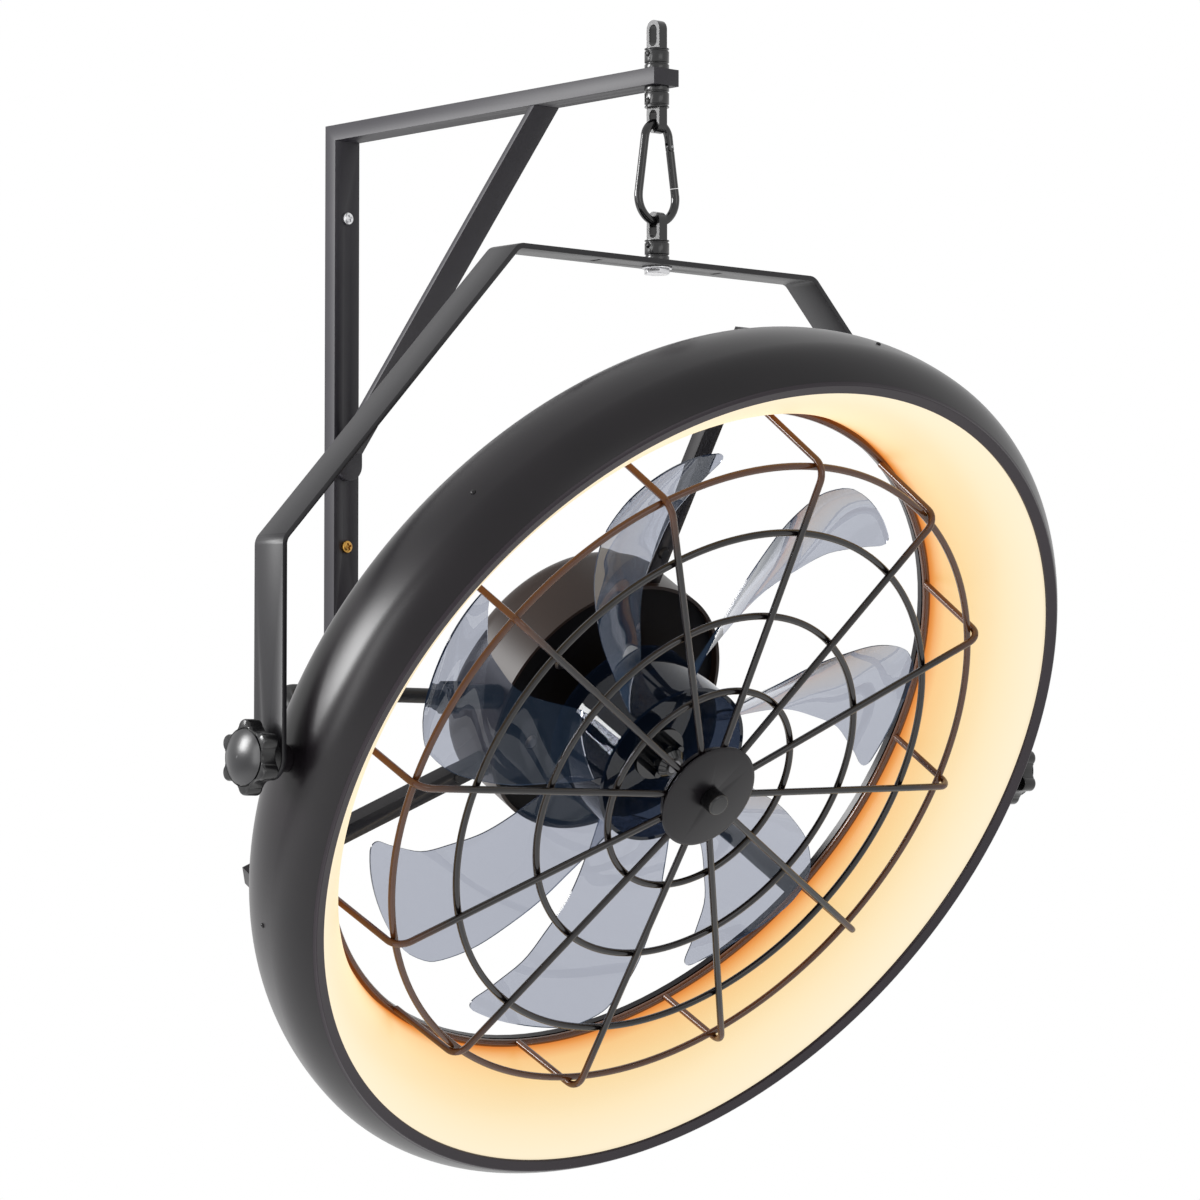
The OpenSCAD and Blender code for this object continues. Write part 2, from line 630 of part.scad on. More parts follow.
plate_t = 2;
plate_z = wire_start.y + wire_d / 2 + seat;
module guard_plate() color("#303034") in_fan() translate([0, 0, plate_z]) difference() {
    union() {
        cylinder(h = plate_t * 0.6, r = plate_r);
        translate([0, 0, plate_t * 0.6]) cylinder(h = plate_t * 0.4, r1 = plate_r, r2 = plate_r - plate_t);
    }
    translate([0, 0, -over]) cylinder(h = plate_t + 2 * over, d = knob_screw_d + 4 * run_fit);
}
module guard_back_plate() color(black) in_fan()
    translate([0, 0, wire_start.y - wire_d / 2 - back_plate_gap - plate_t]) difference() {
        cylinder(h = plate_t, r = plate_r - back_plate_set);
        translate([0, 0, -over]) cylinder(h = plate_t + 2 * over, d = knob_screw_d + 2 * run_fit);
    }
back_plate_gap = 0.6;
back_plate_set = 4;
knob_screw_d = 5;
knob_screw_past = 1;
guard_knob_d = 13;
guard_knob_h = 9.3;
guard_knob_edge = 1;
module guard_knob() color("#232326") in_fan() translate([0, 0, plate_z + plate_t + seat]) {
    screw_len = plate_t * 3 + wire_d + knob_screw_past;
    translate([0, 0, -screw_len]) cylinder(h = screw_len, d = knob_screw_d);
    cylinder(h = guard_knob_h - guard_knob_edge, d = guard_knob_d);
    translate([0, 0, guard_knob_h - guard_knob_edge])
        cylinder(h = guard_knob_edge, d1 = guard_knob_d, d2 = guard_knob_d - 2 * guard_knob_edge);
}

// Struts from the motor housing to the back of the lamp ring

strut_w = 12;
strut_h = 8;
strut_turn = 90;
strut_drop = 8;
strut_z = -motor_back - strut_drop;
strut_out = 236;
// The struts' feet end behind the heads of the back screws
strut_top = back_z - 2 * seat - back_head_h;
strut_screw_set = 19;
strut_screw_r = motor_r + strut_screw_set;
strut_screw_d = 4;
strut_head_h = 1.6;
module struts() color("#232325") in_fan() around(3, strut_turn) difference() {
    rotate([90, 0, 0]) translate([0, 0, -strut_w / 2]) linear_extrude(strut_w)
        polygon([[motor_r + seat, strut_z - strut_h / 2], [strut_out, strut_z - strut_h / 2],
            [strut_out, strut_top], [strut_out - strut_h, strut_top],
            [strut_out - strut_h, strut_z + strut_h / 2], [motor_r + seat, strut_z + strut_h / 2]]);
    translate([strut_screw_r, 0, strut_z]) cylinder(h = strut_h, d = strut_screw_d + 4 * run_fit);
}
module strut_screws() color("#8f8f91") in_fan() around(3, strut_turn)
    translate([strut_screw_r, 0, strut_z]) {
        translate([0, 0, seat]) cylinder(h = strut_h / 2, d = strut_screw_d);
        translate([0, 0, strut_h / 2 + seat])
            cylinder(h = strut_head_h, d1 = strut_screw_d * 1.8, d2 = strut_screw_d * 1.4);
    }

// Motor

housing_wall = 2;
housing_round = 14;
cover_t = 3;
bearing_d = 22;
bearing_w = 7;
module motor_outline() {
    translate([0, -motor_h]) square([motor_r - housing_round, motor_h]);
    translate([0, -motor_h + housing_round]) square([motor_r, motor_h - housing_round]);
    translate([motor_r - housing_round, -motor_h + housing_round]) circle(housing_round);
}
module motor_housing() color("#29292b") in_fan() translate([0, 0, -motor_back]) difference() {
    rotate_extrude() difference() {
        motor_outline();
        translate([0, -motor_h + housing_wall]) square([motor_r - housing_round, motor_h + over]);
        translate([0, -motor_h + housing_round])
            square([motor_r - housing_wall, motor_h - housing_round + over]);
        translate([motor_r - housing_round, -motor_h + housing_round])
            circle(housing_round - housing_wall);
    }
    rotate([0, 0, lead_turn]) translate([motor_r - housing_round, 0, lead_z + motor_back]) rotate([0, 90, 0])
        cylinder(h = housing_round * 2, d = lead_d + 2 * run_fit);
}
// Front cover: a recessed plate with a boss that holds the front bearing
boss_wall = 4;
boss_r = bearing_d / 2 + boss_wall;
boss_proud = 2;
shaft_room = 1;
motor_floor = -motor_back - motor_h + housing_wall;
cover_set = 5;
cover_z = -motor_back - cover_set - cover_t;
module motor_cover() color("#141416") in_fan() translate([0, 0, cover_z]) difference() {
    union() {
        cylinder(h = cover_t, r = motor_r - housing_wall - seat);
        translate([0, 0, -bearing_w]) cylinder(h = bearing_w + cover_t + boss_proud, r = boss_r);
    }
    translate([0, 0, -bearing_w - over]) cylinder(h = bearing_w + over, d = bearing_d + 2 * seat);
    translate([0, 0, -over]) cylinder(h = cover_t + boss_proud + 2 * over, d = shaft_d + shaft_room);
    around(cover_screw_count, 30) translate([cover_screw_r, 0, -over])
        cylinder(h = cover_t + 2 * over, d = cover_screw_d + 4 * run_fit);
}
cover_screw_r = 50;
cover_screw_count = 6;
cover_screw_d = 4;
cover_screw_past = 4;
cover_head_h = 1.8;
module cover_screws() color("#909092") in_fan() around(cover_screw_count, 30)
    translate([cover_screw_r, 0, cover_z + cover_t]) {
        translate([0, 0, -cover_t - cover_screw_past])
            cylinder(h = cover_t + cover_screw_past + seat, d = cover_screw_d);
        translate([0, 0, seat])
            cylinder(h = cover_head_h, d1 = cover_screw_d * 1.8, d2 = cover_screw_d * 1.4);
    }
module bearing() difference() {
    cylinder(h = bearing_w - 2 * seat, d = bearing_d);
    translate([0, 0, -over]) cylinder(h = bearing_w + 2 * over, d = shaft_d + 2 * run_fit);
}
module front_bearing() color("#c8c8ca") in_fan() translate([0, 0, cover_z - bearing_w + seat]) bearing();
module rear_bearing() color("#c8c8ca") in_fan() translate([0, 0, motor_floor + seat]) bearing();

stator_bore_r = 20;
stator_r = 40;
stator_h = 22;
stator_gap = 3;
stator_z = cover_z - bearing_w - stator_gap - stator_h;
stator_foot_wall = 4;
stator_slots = 12;
stator_slot_set = 6;
stator_slot_w = 4;
stator_rim = 2;
module stator() color("#7c5a3a") in_fan() difference() {
    union() {
        translate([0, 0, stator_z]) cylinder(h = stator_h, r = stator_r);
        translate([0, 0, motor_floor + seat])
            cylinder(h = stator_z - motor_floor, r = stator_bore_r + stator_foot_wall);
    }
    translate([0, 0, -motor_back - motor_h]) cylinder(h = motor_h, r = stator_bore_r);
    around(stator_slots)
        translate([stator_bore_r + stator_slot_set, -stator_slot_w / 2, stator_z - over])
            cube([stator_r - stator_bore_r - stator_slot_set - stator_rim, stator_slot_w,
                stator_h + 2 * over]);
}
shaft_front = 13;
module shaft() color("#b4b4b6") in_fan() translate([0, 0, motor_floor + 4 * seat])
    cylinder(h = shaft_front - motor_floor - 4 * seat, d = shaft_d);
rotor_inset = 1;
air_gap = 0.4;
module rotor_core() color("#6a6a6c") in_fan() translate([0, 0, stator_z + rotor_inset]) difference() {
    cylinder(h = stator_h - 2 * rotor_inset, r = stator_bore_r - air_gap);
    translate([0, 0, -over]) cylinder(h = stator_h + 2 * over, d = shaft_d + 2 * seat);
}
// Driver of the lamp, beside the stator on the housing's floor
driver = [16, 44, 24];
driver_gap = 4;
driver_foot = 2;
module led_driver() color("#e8e8e4") in_fan()
    translate([stator_r + driver_gap, -driver.y / 2, motor_floor + seat + driver_foot]) {
        cube(driver);
        translate([driver_foot, driver_foot, -driver_foot])
            cube([driver.x - 4 * driver_foot, driver.y - 2 * driver_foot, driver_foot + over]);
    }

// Gland and lead between the motor housing and the lamp ring
lead_d = 8.4;
lead_turn = 180;
lead_drop = 8;
lead_z = -motor_back - lead_drop;
gland_d = 13;
gland_end = 26;
nut_len = 13;
nut_d = 15;
nut_lobes = 6;
nut_lobe_d = 4;
lobe_in = 0.6;
module lead_gland() color("#17171a") in_fan() rotate([0, 0, lead_turn])
    translate([motor_r + seat, 0, lead_z]) rotate([0, 90, 0]) difference() {
        union() {
            cylinder(h = gland_end, d = gland_d);
            translate([0, 0, gland_end]) cylinder(h = nut_len, d = nut_d);
            around(nut_lobes) translate([nut_d / 2 - lobe_in, 0, gland_end + lobe_in])
                cylinder(h = nut_len - 2 * lobe_in, d = nut_lobe_d);
        }
        translate([0, 0, -over]) cylinder(h = gland_end + nut_len + 2 * over, d = lead_d + 2 * run_fit);
    }
lead_out = 232;
lead_bend_r = 12;
module lamp_lead() color("#19191b") in_fan() rotate([0, 0, lead_turn]) {
    translate([motor_r - housing_wall + 2 * seat, 0, lead_z]) rotate([0, 90, 0])
        cylinder(h = lead_out - lead_bend_r - motor_r + housing_wall - 2 * seat, d = lead_d);
    translate([lead_out - lead_bend_r, 0, lead_z + lead_bend_r]) rotate([90, 0, 0]) rotate([0, 0, -90])
        rotate_extrude(angle = 90) translate([lead_bend_r, 0]) circle(d = lead_d);
    translate([lead_out, 0, lead_z + lead_bend_r])
        cylinder(h = back_z - seat - lead_z - lead_bend_r, d = lead_d);
}

// Hub and blades

hub_front = 10.4;
hub_back = -38;
hub_wall = 2.2;
web_z = -16;
web_t = 4;
hub_boss_r = 10;
hub_boss_h = 8;
module hub() color("#7f93a8", 0.5) in_fan() difference() {
    translate([0, 0, hub_back]) cylinder(h = hub_front - hub_back, r = hub_r);
    translate([0, 0, web_z + web_t]) difference() {
        cylinder(h = hub_front - web_z, r = hub_r - hub_wall);
        translate([0, 0, -over]) cylinder(h = hub_boss_h + over, r = hub_boss_r);
    }
    translate([0, 0, hub_back - over]) difference() {
        cylinder(h = web_z - hub_back + over, r = hub_r - hub_wall);
        cylinder(h = web_z - hub_back + 2 * over, r = hub_boss_r);
    }
    translate([0, 0, hub_back - over]) cylinder(h = hub_front - hub_back + 2 * over, d = shaft_d + 2 * seat);
}
// Nut that holds the hub on the shaft: a flange, a ribbed grip and a cone on its end
grip_flange_h = 3;
grip_flange_r = 16;
grip_h = 14;
grip_r = 9;
grip_rib_h = 12;
grip_rib_r = 2.5;
grip_cone_h = 3;
grip_cone_r = 6;
hub_nut_z = web_z + web_t + hub_boss_h + seat;
module hub_nut() color("#1f1f22") in_fan() translate([0, 0, hub_nut_z]) difference() {
    union() {
        cylinder(h = grip_flange_h, r = grip_flange_r);
        cylinder(h = grip_h, r = grip_r);
        around(6) translate([grip_r, 0, 0]) cylinder(h = grip_rib_h, r = grip_rib_r);
        translate([0, 0, grip_h]) cylinder(h = grip_cone_h, r1 = grip_r, r2 = grip_cone_r);
    }
    translate([0, 0, -over]) cylinder(h = shaft_front - hub_nut_z + seat + over, d = shaft_d + 2 * seat);
}
// Dark core sleeve between the hub's web and the motor's cover
core_set = 1;
core_wall = 12;
core_neck_h = 10;
core_neck_wall = 2;
module hub_core() color("#202226") in_fan() translate([0, 0, hub_back + core_set]) difference() {
    union() {
        cylinder(h = web_z - hub_back - 2 * core_set, r = hub_boss_r + core_wall);
        translate([0, 0, -core_neck_h]) cylinder(h = core_neck_h + over, r = hub_boss_r + core_neck_wall);
    }
    translate([0, 0, -core_set]) cylinder(h = web_z - hub_back + 2 * core_set, r = hub_boss_r + seat);
    translate([0, 0, -core_neck_h - over]) cylinder(h = core_neck_h + 2 * over, d = shaft_d + 2 * seat);
}

// Blade form: shares of the blades' largest radius, with the angle and height of both edges there
blade_turn = -5.7;
radius_shares = [0.27, 0.432, 0.567, 0.702, 0.799, 0.875, 0.934, 0.977, 0.988, 1];
lead_angles = [15.2, 17.2, 16.7, 13, 10.2, 6.2, 3.2, 0.6, 0, -0.6];
trail_angles = [47.7, 43.7, 41.7, 38.7, 36.4, 33.7, 30.9, 27.7, 26.6, 25];
lead_height_shares = [-0.13, -0.123, -0.117, -0.108, -0.1, -0.093, -0.087, -0.083, -0.082, -0.081];
trail_height_shares = [0.0216, 0.02, 0.018, 0.014, 0.01, 0.006, 0.003, 0.001, 0, 0];
tip_chord_shares = [0, 0.15, 0.35, 0.6, 0.8, 0.93, 1];
tip_radius_shares = [0.988, 0.995, 1, 1, 0.996, 0.987, 0.974];
camber_share = 0.018;
span_steps = 14;
chord_steps = 14;
blade_gap = 0.06;
blade_root_r = hub_r + blade_gap;
function spread(keys, values) = [for (i = [0 : len(keys) - 1]) [keys[i], values[i]]];
// A point of the blade's middle surface at share u of its span and share v of its chord
function blade_mid(u, v) = let (
        tip = blade_r * lookup(v, spread(tip_chord_shares, tip_radius_shares)),
        r = blade_root_r + (tip - blade_root_r) * u,
        k = r / blade_r,
        a = blade_turn + lookup(k, spread(radius_shares, lead_angles)) * (1 - v)
            + lookup(k, spread(radius_shares, trail_angles)) * v,
        z = blade_r * (lookup(k, spread(radius_shares, lead_height_shares)) * (1 - v)
            + lookup(k, spread(radius_shares, trail_height_shares)) * v
            - camber_share * 4 * v * (1 - v)))
    [r * cos(a), r * sin(a), z];
// Half thickness: thin at the two edges and towards the tip
function blade_half(u, v) = blade_t / 2 * (0.45 + 0.55 * sin(180 * v)) * (1 - 0.3 * u);
function chord_at(j) = (1 - cos(180 * j / chord_steps)) / 2;
module blade() {
    side = (span_steps + 1) * (chord_steps + 1);
    function at(i, j, s) = s * side + i * (chord_steps + 1) + j;
    points = [for (s = [1, -1]) for (i = [0 : span_steps]) for (j = [0 : chord_steps])
        let (u = i / span_steps, v = chord_at(j)) blade_mid(u, v) + [0, 0, s * 1.1 * blade_half(u, v)]];
    polyhedron(points, concat(
        [for (i = [0 : span_steps - 1]) for (j = [0 : chord_steps - 1]) each [
            [at(i, j, 0), at(i + 1, j + 1, 0), at(i + 1, j, 0)],
            [at(i, j, 0), at(i, j + 1, 0), at(i + 1, j + 1, 0)],
            [at(i, j, 1), at(i + 1, j, 1), at(i + 1, j + 1, 1)],
            [at(i, j, 1), at(i + 1, j + 1, 1), at(i, j + 1, 1)]]],
        [for (i = [0 : span_steps - 1]) each [
            [at(i, 0, 0), at(i + 1, 0, 1), at(i, 0, 1)],
            [at(i, 0, 0), at(i + 1, 0, 0), at(i + 1, 0, 1)],
            [at(i, chord_steps, 1), at(i + 1, chord_steps, 0), at(i, chord_steps, 0)],
            [at(i, chord_steps, 1), at(i + 1, chord_steps, 1), at(i + 1, chord_steps, 0)]]],
        [for (j = [0 : chord_steps - 1]) each [
            [at(0, j, 0), at(0, j + 1, 1), at(0, j + 1, 0)],
            [at(0, j, 0), at(0, j, 1), at(0, j + 1, 1)],
            [at(span_steps, j, 0), at(span_steps, j + 1, 0), at(span_steps, j + 1, 1)],
            [at(span_steps, j, 0), at(span_steps, j + 1, 1), at(span_steps, j, 1)]]]));
}
module blades() color("#8ea2b8", 0.5) in_fan() around(blade_count) blade();

// Star knobs

lobes = 6;
lobe_d = 9;
scallop_d = 16;
scallop_in = 4.6;
module star2d() difference() {
    union() {
        circle(d = knob_d * 0.85);
        for (i = [0 : lobes - 1]) rotate(i * 360 / lobes)
            translate([knob_d / 2 - lobe_d / 2, 0]) circle(d = lobe_d);
    }
    for (i = [0 : lobes - 1]) rotate((i + 0.5) * 360 / lobes)
        translate([knob_d / 2 - scallop_in + scallop_d / 2, 0]) circle(d = scallop_d);
}
module star_knob() {
    difference() {
        linear_extrude(knob_h) rotate(-tilt) star2d();
        translate([0, 0, -over]) cylinder(h = knob_h - cap_in + over, d = stud_d + 2 * run_fit);
        translate([0, 0, knob_h - cap_in]) cylinder(h = cap_in + over, d = cap_d + 2 * seat);
    }
}
cap_d = 29.2;
cap_in = 1;
cap_rim = 1.2;
cap_dome = cap_h - cap_rim + cap_in;
cap_sphere_r = (pow(cap_d / 2, 2) + pow(cap_dome, 2)) / (2 * cap_dome);
module knob_cap() translate([0, 0, knob_h - cap_in + seat]) intersection() {
    cylinder(h = cap_h + cap_in, d = cap_d);
    translate([0, 0, cap_h + cap_in - cap_sphere_r]) sphere(cap_sphere_r, $fn = 180);
}
module at_knob() in_head() translate([leg_out + 3 * seat, 0, 0])
    rotate([0, 90, 0]) children();
module right_knob() color("#1a1a1c") at_knob() star_knob();
module left_knob() color("#1a1a1c") mirror([1, 0, 0]) at_knob() star_knob();
module right_cap() color("#3a3a3e") at_knob() knob_cap();
module left_cap() color("#3a3a3e") mirror([1, 0, 0]) at_knob() knob_cap();

bracket_tube();
post_plug();
brace();
wall_screws();
upper_barrel();
lower_barrel();
barrel_set_screws();
upper_eye();
hanging_eye();
snap_hook();
hook_gate();
gate_pin();
gate_plunger();
yoke_eye();
yoke_barrel();
yoke_set_screw();
yoke();
yoke_washer();
yoke_bolt();
ring_shell();
front_rim();
lamp_back();
back_screws();
diffuser();
led_board();
led_chips();
tilt_studs();
side_spacers();
ring_screws();
guard_wires();
guard_rings();
guard_plate();
guard_back_plate();
guard_knob();
struts();
strut_screws();
motor_housing();
motor_cover();
cover_screws();
lead_gland();
lamp_lead();
led_driver();
stator();
front_bearing();
rear_bearing();
shaft();
rotor_core();
hub();
hub_core();
hub_nut();
blades();
left_knob();
right_knob();
left_cap();
right_cap();
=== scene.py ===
"""Looks of the wall fan with a lit ring: camera, light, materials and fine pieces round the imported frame."""

import json
import math

import bmesh
import bpy
from mathutils import Matrix, Vector

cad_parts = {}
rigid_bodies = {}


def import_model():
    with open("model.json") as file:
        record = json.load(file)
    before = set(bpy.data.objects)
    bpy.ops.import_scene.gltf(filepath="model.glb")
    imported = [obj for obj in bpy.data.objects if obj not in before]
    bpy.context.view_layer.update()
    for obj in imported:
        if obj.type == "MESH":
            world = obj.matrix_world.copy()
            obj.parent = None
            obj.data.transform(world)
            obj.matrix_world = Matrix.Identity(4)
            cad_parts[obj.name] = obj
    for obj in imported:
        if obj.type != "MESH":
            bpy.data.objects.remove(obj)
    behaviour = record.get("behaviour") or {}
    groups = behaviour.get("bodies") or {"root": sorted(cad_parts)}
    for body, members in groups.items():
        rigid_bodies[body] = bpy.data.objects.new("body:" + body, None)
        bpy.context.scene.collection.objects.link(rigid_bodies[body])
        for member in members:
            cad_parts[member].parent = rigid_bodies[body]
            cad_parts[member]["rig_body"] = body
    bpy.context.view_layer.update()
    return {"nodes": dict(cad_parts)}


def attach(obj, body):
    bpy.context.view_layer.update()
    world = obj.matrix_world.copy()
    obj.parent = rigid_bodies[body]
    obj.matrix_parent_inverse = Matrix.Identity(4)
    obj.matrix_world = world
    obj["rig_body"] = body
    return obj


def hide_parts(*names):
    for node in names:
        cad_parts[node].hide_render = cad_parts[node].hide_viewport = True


MM = 0.001

# Camera, from the fit to the photograph
CAMERA_AT = (-1803.57, -2240.97, -288.95)
CAMERA_TURN = 42.02
CAMERA_PITCH = -3.13
CAMERA_LENS = 142.12

# Sizes repeated from the part's source, in millimetres and degrees
SWIVEL_OUT = 287.3
PIVOT_Z = -236.1
TILT = 31.3
AXIS_RISE = 6.2

RING_R = 265.7
CREASE_R = 252.7
RIM_IN_R = 246.8
FRONT_Z = 39.9
REAR_Z = 28.0
WIDEST_Z = 13.7
REAR_ROUND = 19.0
SHEET_T = 1.5
OPEN_R = 205.0

WIRE_D = 4.0
REAR_WIRE_D = 4.5
RADIALS = 12
RADIAL_TURN = 0.86
GUARD_R = 200.4
FRONT_RISE = 0.0407
CORNER_Z = FRONT_Z - 4.7
HUB_END = 24.0
WIRE_BEND_R = 10.0
REAR_RING_R = OPEN_R + 1.9
FRONT_RING_SHARES = (0.312, 0.542, 0.7955)
SIDE_RING_DROP = 8.3

BLADE_COUNT = 7
BLADE_R = 185.2
BLADE_T = 2.0
BLADE_TURN = -5.7
HUB_R = 49.4

LEG_OUT = 276.645
KNOB_D = 40.0
KNOB_H = 16.0

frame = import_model()
nodes = frame["nodes"]


def linear(code):
    """A hex colour as linear RGBA."""
    parts = [int(code[i:i + 2], 16) / 255 for i in (1, 3, 5)]
    return tuple(c / 12.92 if c <= 0.04045 else ((c + 0.055) / 1.055) ** 2.4 for c in parts) + (1.0,)


def fan_point(x, y, z):
    """A point of the fan's own frame, in millimetres, as a place in the row's frame, in metres."""
    c, s = math.cos(math.radians(TILT)), math.sin(math.radians(TILT))
    out, up = -z, y + AXIS_RISE
    return Vector((x, -SWIVEL_OUT + out * c - up * s, PIVOT_Z + out * s + up * c)) * MM


def fan_matrix():
    """The fan's own frame, in metres, as a matrix in the row's frame."""
    origin = fan_point(0, 0, 0)
    axes = [(fan_point(*point) - origin).normalized() for point in ((1, 0, 0), (0, 1, 0), (0, 0, 1))]
    made = Matrix(axes).transposed().to_4x4()
    made.translation = origin
    return made


# Materials

def add(tree, kind, links=None, **settings):
    """A node with its settings, and its inputs linked or set."""
    node = tree.nodes.new(kind)
    for key, value in settings.items():
        setattr(node, key, value)
    for key, value in (links or {}).items():
        if isinstance(value, bpy.types.NodeSocket):
            tree.links.new(value, node.inputs[key])
        else:
            node.inputs[key].default_value = value
    return node


def shader_of(mat):
    """The material's one surface shader."""
    return next(n for n in mat.node_tree.nodes if n.type == "BSDF_PRINCIPLED")


def new_finish(name, rough, **values):
    """An empty finish: its material, its tree and its shader."""
    mat = bpy.data.materials.new(name)
    mat.use_nodes = True
    tree = mat.node_tree
    shader = shader_of(mat)
    shader.inputs["Roughness"].default_value = rough
    for key, value in values.items():
        shader.inputs[key.replace("_", " ")].default_value = value
    return mat, tree, shader


def pattern(tree, size_mm):
    """Soft cloudy noise whose features are about this many millimetres across."""
    place = add(tree, "ShaderNodeTexCoord").outputs["Object"]
    scaled = add(tree, "ShaderNodeVectorMath", {0: place, "Scale": 1000.0 / size_mm}, operation="SCALE")
    noise = add(tree, "ShaderNodeTexNoise", {"Vector": scaled.outputs[0], "Scale": 1.0, "Detail": 2.0})
    return noise.outputs["Fac"]


# Width of the faint clouds in a coat's colour, in millimetres
CLOUD_MM = 45.0


def painted(name, dark, pale, rough, grain_mm=0.0, depth_mm=0.0, **values):
    """A coat or a moulding with a faint cloud in its colour and a fine grain in its gloss and relief."""
    mat, tree, shader = new_finish(name, rough, **values)
    tint = add(tree, "ShaderNodeValToRGB", {0: pattern(tree, CLOUD_MM)})
    for stop, at, code in zip(tint.color_ramp.elements, (0.3, 0.7), (dark, pale)):
        stop.position, stop.color = at, linear(code)
    tree.links.new(tint.outputs[0], shader.inputs["Base Color"])
    if depth_mm:
        relief = add(tree, "ShaderNodeBump", {"Height": pattern(tree, grain_mm), "Distance": depth_mm * MM})
        tree.links.new(relief.outputs[0], shader.inputs["Normal"])
    return mat


# Powder coat on steel tube and bar: a charcoal satin with a faint orange-peel grain
tube_coat = painted("powder_coated_steel_tube", "#242228", "#2b292f", 0.45, 1.1, 0.01, Specular_IOR_Level=0.4)
bar_coat = painted("powder_coated_steel_bar", "#141317", "#19181c", 0.4, 1.1, 0.01, Specular_IOR_Level=0.4)
# Turned steel under a thin black plating: darker and sharper than the powder coat
swivel_black = painted("black_plated_turned_steel", "#0c0c0e", "#121214", 0.24, Specular_IOR_Level=0.6)
hook_black = painted("black_plated_spring_steel", "#09090b", "#0f0f11", 0.17, Specular_IOR_Level=0.6)
# Spun sheet under a satin lacquer: a warm purple black with broad soft reflections
ring_lacquer = painted("satin_lacquered_spun_steel", "#110e12", "#171317", 0.3, 1.4, 0.003,
                       Specular_IOR_Level=0.3)
rim_lacquer = painted("satin_lacquered_rim", "#231b23", "#2a2129", 0.36, 1.4, 0.003, Specular_IOR_Level=0.35)
# Welded wire under a gloss powder coat: a thin line of light along each wire
wire_coat = painted("gloss_powder_coated_wire", "#0d090b", "#130e10", 0.17, 1.2, 0.003,
                    Specular_IOR_Level=0.5)
# Powder coat on flat plate: nearly black, with a dull even sheen
plate_coat = painted("powder_coated_plate", "#0f0c10", "#151216", 0.36, 1.1, 0.006, Specular_IOR_Level=0.3)
# Injection-moulded nylon: near black, its gloss broken by a very fine grain
knob_nylon = painted("moulded_black_nylon", "#08080a", "#0d0d0f", 0.23, 1.0, 0.004)
cap_nylon = painted("satin_moulded_cap", "#131316", "#19191c", 0.28, 1.0, 0.004)
# Moulded housing: a warm brown black that takes light along its side
housing_shell = painted("moulded_motor_housing", "#241914", "#2b1f19", 0.4, 1.0, 0.006,
                        Specular_IOR_Level=0.3)
# Matt black cover and rubber: dark flat shapes with hardly a highlight, and a polished core between them
cover_plate = painted("matt_black_motor_cover", "#020306", "#04050a", 0.6, Specular_IOR_Level=0.12)
lead_rubber = painted("matt_black_rubber", "#0c0c0e", "#101012", 0.55, 1.0, 0.006)
core_black = painted("polished_dark_core", "#06080d", "#0b0e15", 0.12)
# Plated and plain metals, seen as small bright heads and edges, and the parts inside the housing and the ring
zinc = painted("bright_zinc_plated_steel", "#c4c4c6", "#d2d2d4", 0.25, Metallic=1.0)
dull_steel = painted("black_oxide_screw_steel", "#1a1a1c", "#232325", 0.35, Metallic=0.6)
plain_steel = painted("plain_turned_steel", "#8e8e90", "#a4a4a6", 0.3, Metallic=1.0)
copper = painted("lacquered_copper_windings", "#8a4a22", "#b06a34", 0.35, 1.0, 0.02, Metallic=0.8)
lamination = painted("stacked_steel_laminations", "#55565a", "#66676b", 0.4, Metallic=0.9)
board_white = painted("white_solder_mask", "#e6e6e2", "#eeeeea", 0.4)
case_white = painted("white_driver_case", "#d8d8d4", "#e2e2de", 0.45)


def two_screws():
    """Pan-head screws: zinc plate above the origin and yellow passivation below it."""
    mat, tree, shader = new_finish("plated_pan_head_screws", 0.28, Metallic=1.0)
    place = add(tree, "ShaderNodeTexCoord").outputs["Object"]
    height = add(tree, "ShaderNodeSeparateXYZ", {0: place}).outputs["Z"]
    above = add(tree, "ShaderNodeMath", {0: height, 1: 0.0}, operation="GREATER_THAN")
    tint = add(tree, "ShaderNodeValToRGB", {0: above.outputs[0]})
    for stop, at, code in zip(tint.color_ramp.elements, (0.0, 1.0), ("#b98e48", "#d6d6d8")):
        stop.position, stop.color = at, linear(code)
    tree.links.new(tint.outputs[0], shader.inputs["Base Color"])
    return mat


screw_plate = two_screws()


def lit(name, stops, strength, low, high, base, rough):
    """A surface lit from behind, whose colour runs along the fan's axis from low to high, in millimetres."""
    mat, tree, shader = new_finish(name, rough, Emission_Strength=strength)
    shader.inputs["Base Color"].default_value = linear(base)
    toward = (fan_point(0, 0, 1) - fan_point(0, 0, 0)).normalized()
    start = fan_point(0, 0, 0).dot(toward)
    place = add(tree, "ShaderNodeTexCoord").outputs["Object"]
    along = add(tree, "ShaderNodeVectorMath", {0: place, 1: toward}, operation="DOT_PRODUCT")
    share = add(tree, "ShaderNodeMapRange", {"Value": along.outputs["Value"], "From Min": start + low * MM,
                                             "From Max": start + high * MM})
    tint = add(tree, "ShaderNodeValToRGB", {0: share.outputs[0]})
    for stop, (at, code) in zip(tint.color_ramp.elements, (stops[0], stops[-1])):
        stop.position, stop.color = at, linear(code)
    for at, code in stops[1:-1]:
        tint.color_ramp.elements.new(at).color = linear(code)
    tree.links.new(tint.outputs[0], shader.inputs["Emission Color"])
    return mat


# Opal acrylic lit by the chips behind it: orange at the rear edge, cream towards the rim
opal = lit("lit_opal_acrylic", [(0.0, "#e07f34"), (0.07, "#f2a457"), (0.2, "#fbcb88"), (0.45, "#fddca2"),
                                (0.75, "#fee8bc"), (1.0, "#fff0d0")], 0.95, -24, 35, "#30261a", 0.45)
phosphor = lit("warm_phosphor", [(0.0, "#ffd890"), (1.0, "#ffe2a8")], 1.5, -30, 40, "#3a3020", 0.6)


